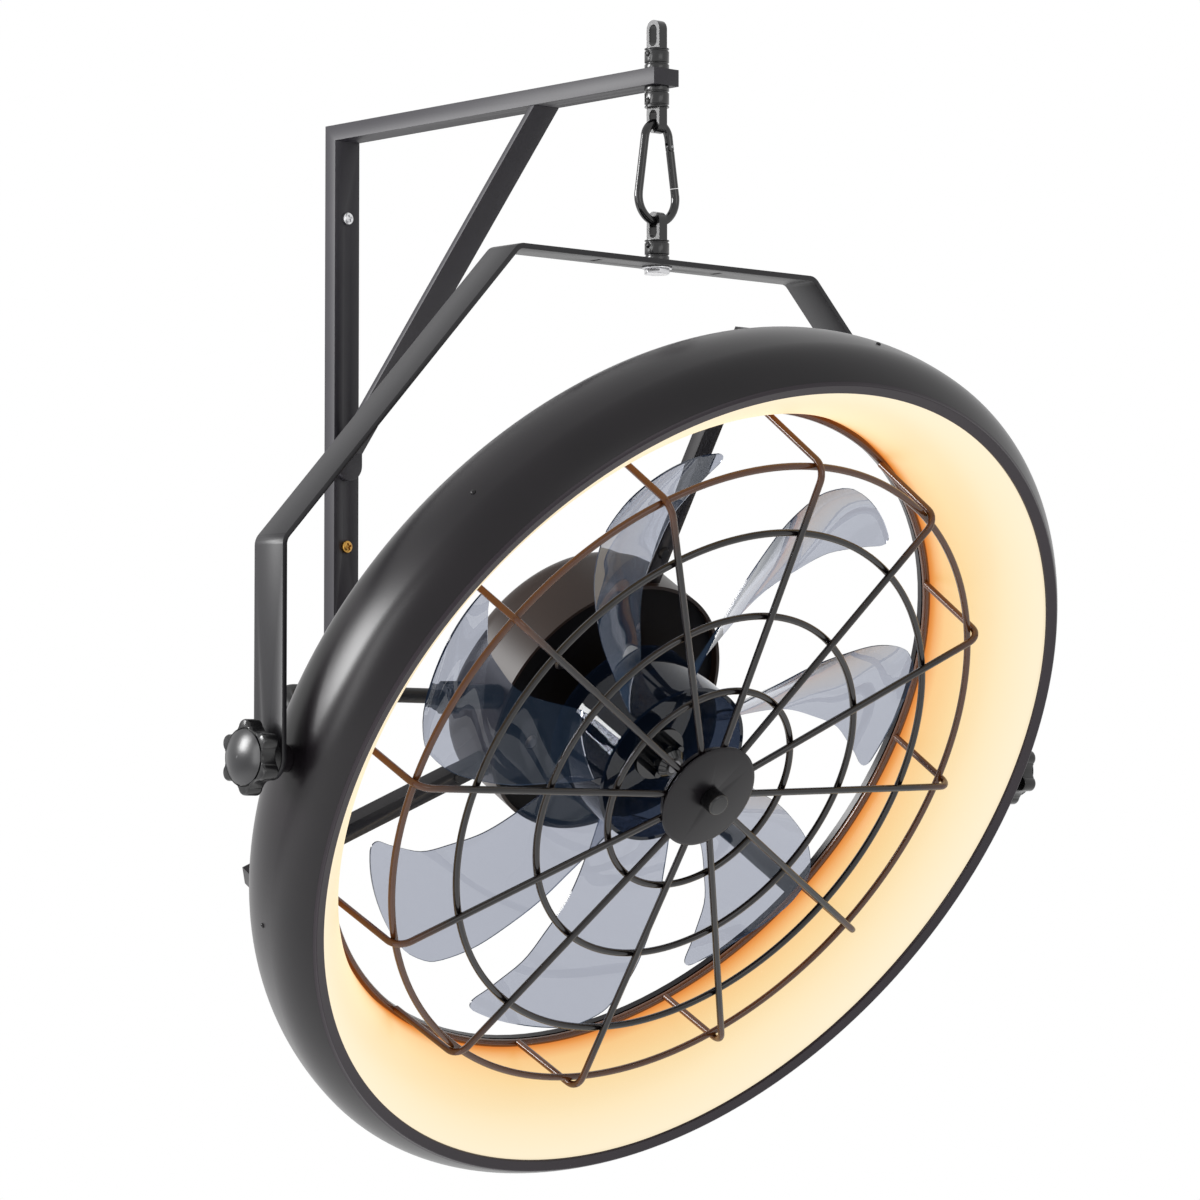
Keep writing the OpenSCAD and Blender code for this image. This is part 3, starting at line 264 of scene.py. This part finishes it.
# Share of the painted glow's colour that a clear piece gives off as light of its own
PAINTED_GLOW_SHARE = 0.6


def clear(name, tint, painted_glow_colour, rough, ior):
    """Clear tinted moulding with a painted glow: its second colour is given off as light, in place of the
    faint light its smoke scatters, seen over dark parts.
    """
    mat, tree, shader = new_finish(name, rough, IOR=ior, Transmission_Weight=1.0, Emission_Strength=PAINTED_GLOW_SHARE)
    shader.inputs["Base Color"].default_value = linear(tint)
    shader.inputs["Emission Color"].default_value = linear(painted_glow_colour)
    return mat


def painted_lamp_light(mat, near_mm, far_mm, code):
    """Painted lamp light on a coat beside the lit diffuser: its own colour inside the near radius, the lamp's
    orange light painted into its colour past the far.
    """
    tree = mat.node_tree
    base = shader_of(mat).inputs["Base Color"]
    centre = fan_point(0, 0, 0)
    place = add(tree, "ShaderNodeTexCoord").outputs["Object"]
    off = add(tree, "ShaderNodeVectorMath", {0: place, 1: centre}, operation="SUBTRACT")
    toward = (fan_point(0, 0, 1) - centre).normalized()
    across = add(tree, "ShaderNodeVectorMath", {0: off.outputs[0], 1: toward}, operation="CROSS_PRODUCT")
    radius = add(tree, "ShaderNodeVectorMath", {0: across.outputs[0]}, operation="LENGTH")
    share = add(tree, "ShaderNodeMapRange", {"Value": radius.outputs["Value"], "From Min": near_mm * MM,
                                             "From Max": far_mm * MM})
    tint = add(tree, "ShaderNodeMix", {0: share.outputs[0], 6: base.links[0].from_socket, 7: linear(code)},
               data_type="RGBA")
    tree.links.new(tint.outputs[2], base)


# Clear smoky polycarbonate: the faces nearly clear, the cut edges painted a deep blue shade for the light that
# runs along them, and the thick hub a dark navy; each with the faint painted glow above
blade_clear = clear("smoky_polycarbonate", "#aaadb7", "#161f2a", 0.0, 1.38)
blade_edge_shade = clear("smoky_polycarbonate_edge_painted_shade", "#2c3346", "#141c28", 0.05, 1.38)
hub_clear = clear("smoky_polycarbonate_hub", "#2c3444", "#070c14", 0.02, 1.34)
# The guard's ends stand beside the diffuser, and its orange light is painted into their colour
painted_lamp_light(wire_coat, 166, 220, "#74431f")

FINISH = {
    tube_coat: ["bracket_tube", "brace"],
    bar_coat: ["yoke"],
    swivel_black: ["upper_barrel", "lower_barrel", "upper_eye", "hanging_eye", "yoke_eye", "yoke_barrel",
                   "barrel_set_screws", "yoke_set_screw"],
    knob_nylon: ["post_plug", "guard_knob"],
    screw_plate: ["wall_screws"],
    zinc: ["yoke_washer", "yoke_bolt"],
    hook_black: ["snap_hook", "hook_gate"],
    plain_steel: ["gate_pin", "gate_plunger", "tilt_studs", "shaft", "front_bearing", "rear_bearing",
                  "cover_screws", "back_screws"],
    dull_steel: ["strut_screws"],
    ring_lacquer: ["lamp_back", "side_spacers", "ring_screws"],
    board_white: ["led_board"],
    phosphor: ["led_chips"],
    plate_coat: ["guard_plate", "guard_back_plate", "struts"],
    housing_shell: ["motor_housing"],
    cover_plate: ["motor_cover"],
    lead_rubber: ["lead_gland", "lamp_lead"],
    case_white: ["led_driver"],
    copper: ["stator"],
    lamination: ["rotor_core"],
    hub_clear: ["hub"],
    core_black: ["hub_core", "hub_nut"],
    cap_nylon: ["left_cap", "right_cap"],
}
for mat, names in FINISH.items():
    for name in names:
        mesh = nodes[name].data
        mesh.materials.clear()
        mesh.materials.append(mat)
        for face in mesh.polygons:
            face.material_index = 0

BODY = {name: obj["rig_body"] for name, obj in nodes.items()}


# Pieces

def seat_piece(obj, replaced):
    """Gives a finished piece to the body of the node that it stands for."""
    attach(obj, BODY[replaced])
    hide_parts(replaced)
    return obj


def mesh_piece(name, points, faces, mat, replaced, smooth_angle=30):
    """A piece from points in the row's frame, in metres."""
    mesh = bpy.data.meshes.new(name)
    mesh.from_pydata([tuple(p) for p in points], [], faces)
    made = bmesh.new()
    made.from_mesh(mesh)
    bmesh.ops.recalc_face_normals(made, faces=made.faces)
    made.to_mesh(mesh)
    made.free()
    mesh.materials.append(mat)
    mesh.shade_smooth()
    mesh.set_sharp_from_angle(angle=math.radians(smooth_angle))
    obj = bpy.data.objects.new(name, mesh)
    bpy.context.scene.collection.objects.link(obj)
    return seat_piece(obj, replaced)


def turned_piece(name, profile, mat, replaced, steps=240):
    """A closed outline of (radius, height) points turned about the fan's axis."""
    count = len(profile)
    points = [fan_point(r * math.cos(2 * math.pi * i / steps), r * math.sin(2 * math.pi * i / steps), z)
              for i in range(steps) for r, z in profile]
    faces = [(i * count + j, i * count + (j + 1) % count,
              (i + 1) % steps * count + (j + 1) % count, (i + 1) % steps * count + j)
             for i in range(steps) for j in range(count)]
    return mesh_piece(name, points, faces, mat, replaced)


def eased_piece(node, width):
    """A copy of a CAD node with its sharp edges eased, as a coat or a moulding leaves them."""
    mesh = nodes[node].data.copy()
    made = bmesh.new()
    made.from_mesh(mesh)
    bmesh.ops.remove_doubles(made, verts=made.verts, dist=0.004 * MM)
    bmesh.ops.dissolve_limit(made, angle_limit=math.radians(0.5), verts=made.verts, edges=made.edges)
    made.to_mesh(mesh)
    made.free()
    mesh.shade_smooth()
    obj = bpy.data.objects.new("eased_" + node, mesh)
    bpy.context.scene.collection.objects.link(obj)
    ease = obj.modifiers.new("eased edges", "BEVEL")
    ease.width = width * MM
    ease.segments = 2
    ease.limit_method = "ANGLE"
    ease.angle_limit = math.radians(38)
    ease.use_clamp_overlap = True
    ease.harden_normals = True
    return seat_piece(obj, node)


for node, width in (("bracket_tube", 0.45), ("brace", 0.4), ("yoke", 0.45), ("upper_barrel", 0.35),
                    ("lower_barrel", 0.35), ("yoke_barrel", 0.35), ("guard_plate", 0.3), ("guard_knob", 0.4),
                    ("post_plug", 0.3), ("struts", 0.4), ("yoke_washer", 0.15), ("yoke_bolt", 0.2)):
    eased_piece(node, width)


# Lamp ring: the seam under the rim, the inner step of the rear face, and a hair of room inside the CAD ring
RIM_SEAM = 1.55
REAR_STEP = 9.0
SPUN_EASE = 0.03


def shell_radius(z, inset=0.0):
    """Radius of the sheet's outline: a parabola in front of its widest place and an ellipse behind."""
    if z > WIDEST_Z:
        return RING_R - inset - (RING_R - CREASE_R) * ((z - WIDEST_Z) / (FRONT_Z - WIDEST_Z)) ** 2
    fall = (WIDEST_Z - z) / (REAR_Z + WIDEST_Z - inset)
    return RING_R - REAR_ROUND + (REAR_ROUND - inset) * math.sqrt(max(0.0, 1 - fall * fall))


def shell_outline(inset, steps=22):
    """The sheet's outline from the rim's seam to the inner edge of its rear face."""
    top = FRONT_Z - RIM_SEAM
    heights = [top - (top - WIDEST_Z) * i / steps for i in range(steps + 1)]
    front = [(shell_radius(z, inset), z) for z in heights]
    rear = [(RING_R - REAR_ROUND + (REAR_ROUND - inset) * math.cos(math.pi / 2 * i / steps),
             WIDEST_Z - (REAR_Z + WIDEST_Z - inset) * math.sin(math.pi / 2 * i / steps))
            for i in range(1, steps + 1)]
    return front + rear + [(RING_R - REAR_ROUND - REAR_STEP, -REAR_Z + inset)]


turned_piece("spun_ring_shell", shell_outline(SPUN_EASE) + shell_outline(SHEET_T)[::-1], ring_lacquer,
             "ring_shell")

# Rim band: a skirt inside the sheet, and a rounded lip over its edge
skirt = shell_radius(FRONT_Z - RIM_SEAM, SHEET_T) - 0.1
turned_piece("front_rim_band", [
    (RIM_IN_R + 0.35, FRONT_Z - RIM_SEAM), (RIM_IN_R + 0.1, FRONT_Z - 1.85), (RIM_IN_R, FRONT_Z - 2.2),
    (RIM_IN_R, FRONT_Z - 3.2), (skirt - SHEET_T, FRONT_Z - 3.0), (skirt - SHEET_T, FRONT_Z - 8.5),
    (skirt, FRONT_Z - 8.5), (skirt, FRONT_Z - RIM_SEAM), (shell_radius(FRONT_Z - 1.5), FRONT_Z - 1.5),
    (CREASE_R + 0.35, FRONT_Z - 0.75), (CREASE_R + 0.1, FRONT_Z - 0.25), (CREASE_R - 0.4, FRONT_Z - 0.08),
    (CREASE_R - 1.2, FRONT_Z - 0.3)], rim_lacquer, "front_rim")

# Diffuser: bowed towards the opening, so that a line of it shows over the rim's near side
CONE_REAR_R, CONE_REAR_Z, CONE_BOW = 209.6, -22.0, 0.56
CONE_FOOT_Z = -27.9
CONE_T = 2.0


def bowed_line(inset, steps=26):
    """The diffuser's bowed line from under the rim to its straight foot."""
    front = Vector((RIM_IN_R + inset, FRONT_Z - 5.0 - 0.1 * inset))
    rear = Vector((CONE_REAR_R + inset, CONE_REAR_Z))
    corner = Vector((rear.x, front.y))
    bend = (front + rear) / 2 + (corner - (front + rear) / 2) * CONE_BOW
    return [tuple((1 - t) ** 2 * front + 2 * t * (1 - t) * bend + t ** 2 * rear)
            for t in (i / steps for i in range(steps + 1))]


cone_foot = [(CONE_REAR_R, CONE_FOOT_Z), (CONE_REAR_R + CONE_T, CONE_FOOT_Z)]
turned_piece("bowed_diffuser", bowed_line(0.0) + cone_foot + bowed_line(CONE_T)[::-1], opal, "diffuser")


# Trees of Geometry Nodes: a piece is drawn once in the fan's own frame and repeated about its axis
def new_tree(name, inputs):
    """A tree of Geometry Nodes with named inputs, and the nodes that hold its inputs and its result."""
    tree = bpy.data.node_groups.new(name, "GeometryNodeTree")
    tree.interface.new_socket("Geometry", in_out="INPUT", socket_type="NodeSocketGeometry")
    for label, kind, value in inputs:
        made = tree.interface.new_socket(label, in_out="INPUT", socket_type=kind)
        if value is not None:
            made.default_value = value
    tree.interface.new_socket("Geometry", in_out="OUTPUT", socket_type="NodeSocketGeometry")
    return tree, tree.nodes.new("NodeGroupInput"), tree.nodes.new("NodeGroupOutput")


def round_the_axis(tree, source, shape):
    """Instances of a shape about the fan's axis, put into the row's frame."""
    turn = add(tree, "ShaderNodeMath", {0: math.tau, 1: source.outputs["Count"]}, operation="DIVIDE")
    index = add(tree, "GeometryNodeInputIndex").outputs[0]
    step = add(tree, "ShaderNodeMath", {0: index, 1: turn.outputs[0]}, operation="MULTIPLY")
    angle = add(tree, "ShaderNodeMath", {0: step.outputs[0], 1: source.outputs["Turn"]}, operation="ADD")
    spin = add(tree, "ShaderNodeCombineXYZ", {"Z": angle.outputs[0]})
    places = add(tree, "GeometryNodePoints", {"Count": source.outputs["Count"]})
    copies = add(tree, "GeometryNodeInstanceOnPoints", {"Points": places.outputs[0], "Instance": shape,
                                                        "Rotation": spin.outputs[0]})
    real = add(tree, "GeometryNodeRealizeInstances", {0: copies.outputs[0]})
    place = fan_matrix()
    return add(tree, "GeometryNodeTransform", {"Geometry": real.outputs[0], "Translation": place.translation,
                                               "Rotation": place.to_euler()}).outputs[0]


def formed_wire_tree():
    """A wire along a bent line, with its corner rounded, repeated about the fan's axis."""
    tree, source, out = new_tree("formed_wires", [
        ("Wire Radius", "NodeSocketFloat", WIRE_D / 2 * MM),
        ("Bend Radius", "NodeSocketFloat", WIRE_BEND_R * MM),
        ("Count", "NodeSocketInt", RADIALS), ("Turn", "NodeSocketFloat", 0.0),
        ("Finish", "NodeSocketMaterial", None)])
    line = add(tree, "GeometryNodeMeshToCurve", {0: source.outputs["Geometry"]})
    bent = add(tree, "GeometryNodeFilletCurve", {"Curve": line.outputs[0], "Count": 8,
                                                 "Radius": source.outputs["Bend Radius"]}, mode="POLY")
    section = add(tree, "GeometryNodeCurvePrimitiveCircle", {"Resolution": 14,
                                                             "Radius": source.outputs["Wire Radius"]})
    swept = add(tree, "GeometryNodeCurveToMesh", {"Curve": bent.outputs[0], "Fill Caps": True,
                                                  "Profile Curve": section.outputs[0]})
    smooth = add(tree, "GeometryNodeSetShadeSmooth", {"Geometry": swept.outputs[0], "Shade Smooth": True})
    placed = round_the_axis(tree, source, smooth.outputs[0])
    finished = add(tree, "GeometryNodeSetMaterial", {"Geometry": placed,
                                                     "Material": source.outputs["Finish"]})
    tree.links.new(finished.outputs[0], out.inputs[0])
    return tree


def blade_tree():
    """One blade repeated about the fan's axis, its cut edge in a darker tint of its own that paints shade on
    it.
    """
    tree, source, out = new_tree("blades_round_the_hub", [
        ("Count", "NodeSocketInt", BLADE_COUNT), ("Turn", "NodeSocketFloat", 0.0),
        ("Face Finish", "NodeSocketMaterial", None), ("Edge Painted Shade", "NodeSocketMaterial", None)])
    placed = round_the_axis(tree, source, source.outputs["Geometry"])
    faces = add(tree, "GeometryNodeSetMaterial", {"Geometry": placed,
                                                  "Material": source.outputs["Face Finish"]})
    edge = add(tree, "GeometryNodeInputNamedAttribute", {"Name": "cut_edge"}, data_type="BOOLEAN")
    edges = add(tree, "GeometryNodeSetMaterial", {"Geometry": faces.outputs[0], "Selection": edge.outputs[0],
                                                  "Material": source.outputs["Edge Painted Shade"]})
    tree.links.new(edges.outputs[0], out.inputs[0])
    return tree


def grown(name, mesh, tree, values, replaced=None):
    """The plain mesh that a tree makes of a mesh, seated on its body."""
    obj = bpy.data.objects.new(name, mesh)
    bpy.context.scene.collection.objects.link(obj)
    growth = obj.modifiers.new("tree", "NODES")
    growth.node_group = tree
    sockets = {item.name: item.identifier for item in tree.interface.items_tree if item.in_out == "INPUT"}
    for label, value in values.items():
        growth[sockets[label]] = value
    grid = bpy.context.evaluated_depsgraph_get()
    made = bpy.data.meshes.new_from_object(obj.evaluated_get(grid))
    obj.modifiers.remove(growth)
    obj.data = made
    made.name = name
    return seat_piece(obj, replaced) if replaced else obj


def joined(name, pieces, replaced):
    """Several plain pieces as one mesh."""
    made = bmesh.new()
    mat = pieces[0].data.materials[0]
    for obj in pieces:
        made.from_mesh(obj.data)
        bpy.data.objects.remove(obj)
    for face in made.faces:
        face.material_index = 0
        face.smooth = True
    mesh = bpy.data.meshes.new(name)
    made.to_mesh(mesh)
    made.free()
    mesh.materials.append(mat)
    obj = bpy.data.objects.new(name, mesh)
    bpy.context.scene.collection.objects.link(obj)
    return seat_piece(obj, replaced)


def line_mesh(name, points, closed=False):
    """A bare line through points of the fan's own frame, in millimetres."""
    mesh = bpy.data.meshes.new(name)
    edges = [(i, i + 1) for i in range(len(points) - 1)] + ([(len(points) - 1, 0)] if closed else [])
    mesh.from_pydata([tuple(Vector(p) * MM) for p in points], edges, [])
    return mesh


# Guard: radial wires with one bend each, and the rings that they are welded to with a hair of room
WELD_ROOM = 0.03
GUARD_SEAT = 2.0
PAINT_ROOM = 0.05

wires = formed_wire_tree()
wire_start = (HUB_END, 0, CORNER_Z + FRONT_RISE * (GUARD_R - HUB_END))
rear_ring_z = -REAR_Z - PAINT_ROOM + GUARD_SEAT + REAR_WIRE_D / 2 + WELD_ROOM
wire_end = (REAR_RING_R - 1.6, 0, rear_ring_z + REAR_WIRE_D / 2 + WELD_ROOM)
grown("formed_guard_wires", line_mesh("wire_line", [wire_start, (GUARD_R, 0, CORNER_Z), wire_end]), wires,
      {"Turn": math.radians(RADIAL_TURN), "Finish": wire_coat}, "guard_wires")


def ring_line(r, z, steps=192):
    """A closed ring about the fan's axis."""
    angles = [math.tau * i / steps for i in range(steps)]
    return line_mesh("ring_line", [(r * math.cos(a), r * math.sin(a), z) for a in angles], True)


leg_angle = math.atan2(CORNER_Z - wire_end[2], wire_end[0] - GUARD_R)
rings = [(GUARD_R * share, CORNER_Z + FRONT_RISE * GUARD_R * (1 - share) - WIRE_D - WELD_ROOM, WIRE_D)
         for share in FRONT_RING_SHARES]
rings.append((GUARD_R + SIDE_RING_DROP / math.tan(leg_angle) - (WIRE_D + 2 * WELD_ROOM) / math.sin(leg_angle),
              CORNER_Z - SIDE_RING_DROP, WIRE_D))
rings.append((REAR_RING_R, rear_ring_z, REAR_WIRE_D))
joined("welded_guard_rings", [
    grown("ring", ring_line(r, z), wires, {"Wire Radius": d / 2 * MM, "Bend Radius": 0.0, "Count": 1,
                                           "Finish": wire_coat}) for r, z, d in rings], "guard_rings")

# Blades: shares of the blades' largest radius, with the angle and the height of both edges there
RADIUS_SHARES = (0.27, 0.432, 0.567, 0.702, 0.799, 0.875, 0.934, 0.977, 0.988, 1)
LEAD_ANGLES = (15.2, 17.2, 16.7, 13, 10.2, 6.2, 3.2, 0.6, 0, -0.6)
TRAIL_ANGLES = (47.7, 43.7, 41.7, 38.7, 36.4, 33.7, 30.9, 27.7, 26.6, 25)
LEAD_HEIGHTS = (-0.13, -0.123, -0.117, -0.108, -0.1, -0.093, -0.087, -0.083, -0.082, -0.081)
TRAIL_HEIGHTS = (0.0216, 0.02, 0.018, 0.014, 0.01, 0.006, 0.003, 0.001, 0, 0)
TIP_CHORD_SHARES = (0, 0.15, 0.35, 0.6, 0.8, 0.93, 1)
TIP_RADIUS_SHARES = (0.988, 0.995, 1, 1, 0.996, 0.987, 0.974)
CAMBER_SHARE = 0.018
CORNER_SHARE, CORNER_SPAN = 0.045, 0.13


def looked_up(key, keys, values):
    """A smooth value between the entries of a table."""
    if key <= keys[0]:
        return values[0]
    for i in range(len(keys) - 1):
        if key <= keys[i + 1]:
            def slope(j):
                low, high = max(j - 1, 0), min(j + 1, len(keys) - 1)
                return (values[high] - values[low]) / (keys[high] - keys[low])
            step = keys[i + 1] - keys[i]
            t = (key - keys[i]) / step
            return ((1 + 2 * t) * (1 - t) ** 2 * values[i] + t * (1 - t) ** 2 * step * slope(i)
                    + t * t * (3 - 2 * t) * values[i + 1] + t * t * (t - 1) * step * slope(i + 1))
    return values[-1]


def blade_point(u, v, side):
    """A point on one face of the blade, at share u of its span and share v of its chord."""
    near = min(v, 1 - v) / CORNER_SPAN
    cut = CORNER_SHARE * (1 - math.sqrt(1 - (1 - near) ** 2)) if near < 1 else 0.0
    tip = BLADE_R * (looked_up(v, TIP_CHORD_SHARES, TIP_RADIUS_SHARES) - cut)
    root = HUB_R + 0.06
    r = root + (tip - root) * u
    k = r / BLADE_R
    lead, trail = (math.radians(BLADE_TURN + looked_up(k, RADIUS_SHARES, table))
                   for table in (LEAD_ANGLES, TRAIL_ANGLES))
    a = lead * (1 - v) + trail * v
    z = BLADE_R * (looked_up(k, RADIUS_SHARES, LEAD_HEIGHTS) * (1 - v)
                   + looked_up(k, RADIUS_SHARES, TRAIL_HEIGHTS) * v - CAMBER_SHARE * 4 * v * (1 - v))
    half = BLADE_T / 2 * 1.1 * (0.45 + 0.55 * math.sin(math.pi * v)) * (1 - 0.3 * u)
    return Vector((r * math.cos(a), r * math.sin(a), z + side * half)) * MM


def blade_mesh(spans=30, chords=26):
    """One blade: a front and a rear skin, and the cut edge between them marked for its darker tint of painted
    shade.
    """
    mesh = bpy.data.meshes.new("blade")
    row = chords + 1
    layer = (spans + 1) * row
    points = [blade_point(i / spans, (1 - math.cos(math.pi * j / chords)) / 2, side)
              for side in (1, -1) for i in range(spans + 1) for j in range(row)]
    faces = []
    for i in range(spans):
        for j in range(chords):
            a, b, c, d = i * row + j, i * row + j + 1, (i + 1) * row + j + 1, (i + 1) * row + j
            faces += [(a, d, c, b), (layer + a, layer + b, layer + c, layer + d)]
    rim = [i * row for i in range(spans)] + [spans * row + j for j in range(chords)] \
        + [i * row + chords for i in range(spans, 0, -1)] + [j for j in range(chords, 0, -1)]
    count = len(faces)
    faces += [(rim[i], rim[(i + 1) % len(rim)], layer + rim[(i + 1) % len(rim)], layer + rim[i])
              for i in range(len(rim))]
    mesh.from_pydata([tuple(p) for p in points], [], faces)
    made = bmesh.new()
    made.from_mesh(mesh)
    bmesh.ops.recalc_face_normals(made, faces=made.faces)
    made.to_mesh(mesh)
    made.free()
    edge = mesh.attributes.new("cut_edge", "BOOLEAN", "FACE")
    edge.data.foreach_set("value", [i >= count for i in range(len(faces))])
    mesh.shade_smooth()
    mesh.set_sharp_from_angle(angle=math.radians(40))
    return mesh


grown("clear_blades", blade_mesh(), blade_tree(), {"Face Finish": blade_clear, "Edge Painted Shade": blade_edge_shade},
      "blades")


# Star knobs: a neck against the leg, a six-lobed grip with eased edges, and a groove round the cap
LOBES = 6
LOBE_R, SCALLOP_R, SCALLOP_IN = 4.5, 8.0, 4.6
NECK_R, NECK_H, CAP_R = 12.0, 6.2, 14.6
BORE_R, LEG_ROOM = 4.2, 0.15


def star_radius(angle):
    """Radius of the grip's outline at an angle from the middle of a lobe."""
    step = math.tau / LOBES
    turn = (angle + step / 2) % step - step / 2
    far = KNOB_D / 2 - LOBE_R
    reach = KNOB_D / 2 * 0.85
    if abs(math.sin(turn)) * far < LOBE_R:
        reach = max(reach, far * math.cos(turn) + math.sqrt(LOBE_R ** 2 - (far * math.sin(turn)) ** 2))
    centre = KNOB_D / 2 - SCALLOP_IN + SCALLOP_R
    side = step / 2 - abs(turn)
    if abs(math.sin(side)) * centre < SCALLOP_R:
        hollow = math.sqrt(SCALLOP_R ** 2 - (centre * math.sin(side)) ** 2)
        reach = min(reach, centre * math.cos(side) - hollow)
    return reach


def star_knob(side, replaced, steps=216):
    """A grip of rings of points, from the neck's end out to the groove round the cap and down the bore."""
    def star(inset, z):
        return [(star_radius(math.tau * i / steps) - inset, z) for i in range(steps)]

    def disc(r, z):
        return [(r, z)] * steps
    levels = [disc(NECK_R - 0.5, 0.0), disc(NECK_R, 0.5), disc(NECK_R, NECK_H), star(1.4, NECK_H),
              star(0.5, NECK_H + 0.3), star(0.12, NECK_H + 0.75), star(0.0, NECK_H + 1.5),
              star(0.0, KNOB_H - 1.6), star(0.12, KNOB_H - 0.85), star(0.5, KNOB_H - 0.3),
              star(1.1, KNOB_H), disc(CAP_R + 0.9, KNOB_H),
              disc(CAP_R + 0.55, KNOB_H - 0.3), disc(CAP_R + 0.5, KNOB_H - 1.0), disc(BORE_R, KNOB_H - 1.0),
              disc(BORE_R, 0.0)]
    points = []
    for level in levels:
        for i, (r, z) in enumerate(level):
            a = math.tau * i / steps
            points.append(Vector((side * (LEG_OUT + LEG_ROOM + z), -SWIVEL_OUT + r * math.sin(a),
                                  PIVOT_Z + r * math.cos(a))) * MM)
    faces = [(k * steps + i, k * steps + (i + 1) % steps, (k + 1) % len(levels) * steps + (i + 1) % steps,
              (k + 1) % len(levels) * steps + i) for k in range(len(levels)) for i in range(steps)]
    return mesh_piece("star_grip_" + replaced.split("_")[0], points, faces, knob_nylon, replaced, 28)


star_knob(-1, "left_knob")
star_knob(1, "right_knob")

# Stage, light and camera

FLOOR_Z = -1.25
FLOOR_HALF = 4.5
FLOOR_LIFT = 0.66
OBJECT_LIGHT = 0.4


def seen(tree):
    """1 for the camera's rays and for those of clear pieces and of gloss, and 0 for light on the object."""
    rays = add(tree, "ShaderNodeLightPath").outputs
    straight = add(tree, "ShaderNodeMath", {0: rays["Is Camera Ray"], 1: rays["Is Transmission Ray"]},
                   operation="MAXIMUM")
    either = add(tree, "ShaderNodeMath", {0: straight.outputs[0], 1: rays["Is Glossy Ray"]},
                 operation="MAXIMUM")
    return either.outputs[0]


# Matt paper that keeps the shadow and is lifted to white where it is looked at
paper, tree, shader = new_finish("pale_paper_floor", 0.9)
shader.inputs["Base Color"].default_value = linear("#f4f4f4")
lift = add(tree, "ShaderNodeMath", {0: seen(tree), 1: FLOOR_LIFT}, operation="MULTIPLY")
tree.links.new(lift.outputs[0], shader.inputs["Emission Strength"])
floor_mesh = bpy.data.meshes.new("floor")
floor_corners = [(FLOOR_HALF * x, FLOOR_HALF * y, FLOOR_Z) for x, y in ((-1, -1), (1, -1), (1, 1), (-1, 1))]
floor_mesh.from_pydata(floor_corners, [], [(0, 1, 2, 3)])
floor_mesh.materials.append(paper)
floor = bpy.data.objects.new("floor", floor_mesh)
bpy.context.scene.collection.objects.link(floor)


HEAD = Vector((0, -0.3, -0.25))


def soft_box(name, at, width, height, watts):
    """A rectangular lamp at a place in metres, turned towards the lamp ring."""
    light = bpy.data.lights.new(name, "AREA")
    light.shape = "RECTANGLE"
    light.size, light.size_y = width, height
    light.energy = watts
    lamp = bpy.data.objects.new(name, light)
    lamp.location = at
    lamp.rotation_euler = (HEAD - Vector(at)).to_track_quat("-Z", "Y").to_euler()
    bpy.context.scene.collection.objects.link(lamp)


# The strong one behind on the left gives the ring its long highlight; the others are weak fills
soft_box("left_rear_softbox", (-2.4, 1.35, 0.75), 1.0, 1.0, 82)
soft_box("left_softbox", (-2.7, -0.2, 0.0), 0.6, 1.6, 16)
soft_box("front_softbox", (-0.2, -2.7, 0.3), 1.6, 1.0, 6)

# White all round for the camera, for clear pieces and for gloss, and a plain level of light on the object
world = bpy.data.worlds.new("white_studio")
bpy.context.scene.world = world
world.use_nodes = True
tree = world.node_tree
sky = tree.nodes["Background"]
sky.inputs["Color"].default_value = (1, 1, 1, 1)
level = add(tree, "ShaderNodeMapRange", {"Value": seen(tree), "To Min": OBJECT_LIGHT, "To Max": 1.0})
tree.links.new(level.outputs[0], sky.inputs["Strength"])

# A full-frame camera, turned and pitched as fitted
camera = bpy.data.cameras.new("camera")
camera.sensor_width = 36
camera.lens = CAMERA_LENS
camera.clip_end = 50
eye = bpy.data.objects.new("camera", camera)
bpy.context.scene.collection.objects.link(eye)
turn, pitch = math.radians(CAMERA_TURN), math.radians(CAMERA_PITCH)
right = Vector((math.cos(turn), -math.sin(turn), 0))
level_back = Vector((-math.sin(turn), -math.cos(turn), 0))
back = level_back * math.cos(pitch) + Vector((0, 0, math.sin(pitch)))
up = Vector((0, 0, math.cos(pitch))) - level_back * math.sin(pitch)
pose = Matrix((right, up, back)).transposed().to_4x4()
pose.translation = Vector(CAMERA_AT) * MM
eye.matrix_world = pose
bpy.context.scene.camera = eye
bpy.context.scene.view_settings.view_transform = "Standard"
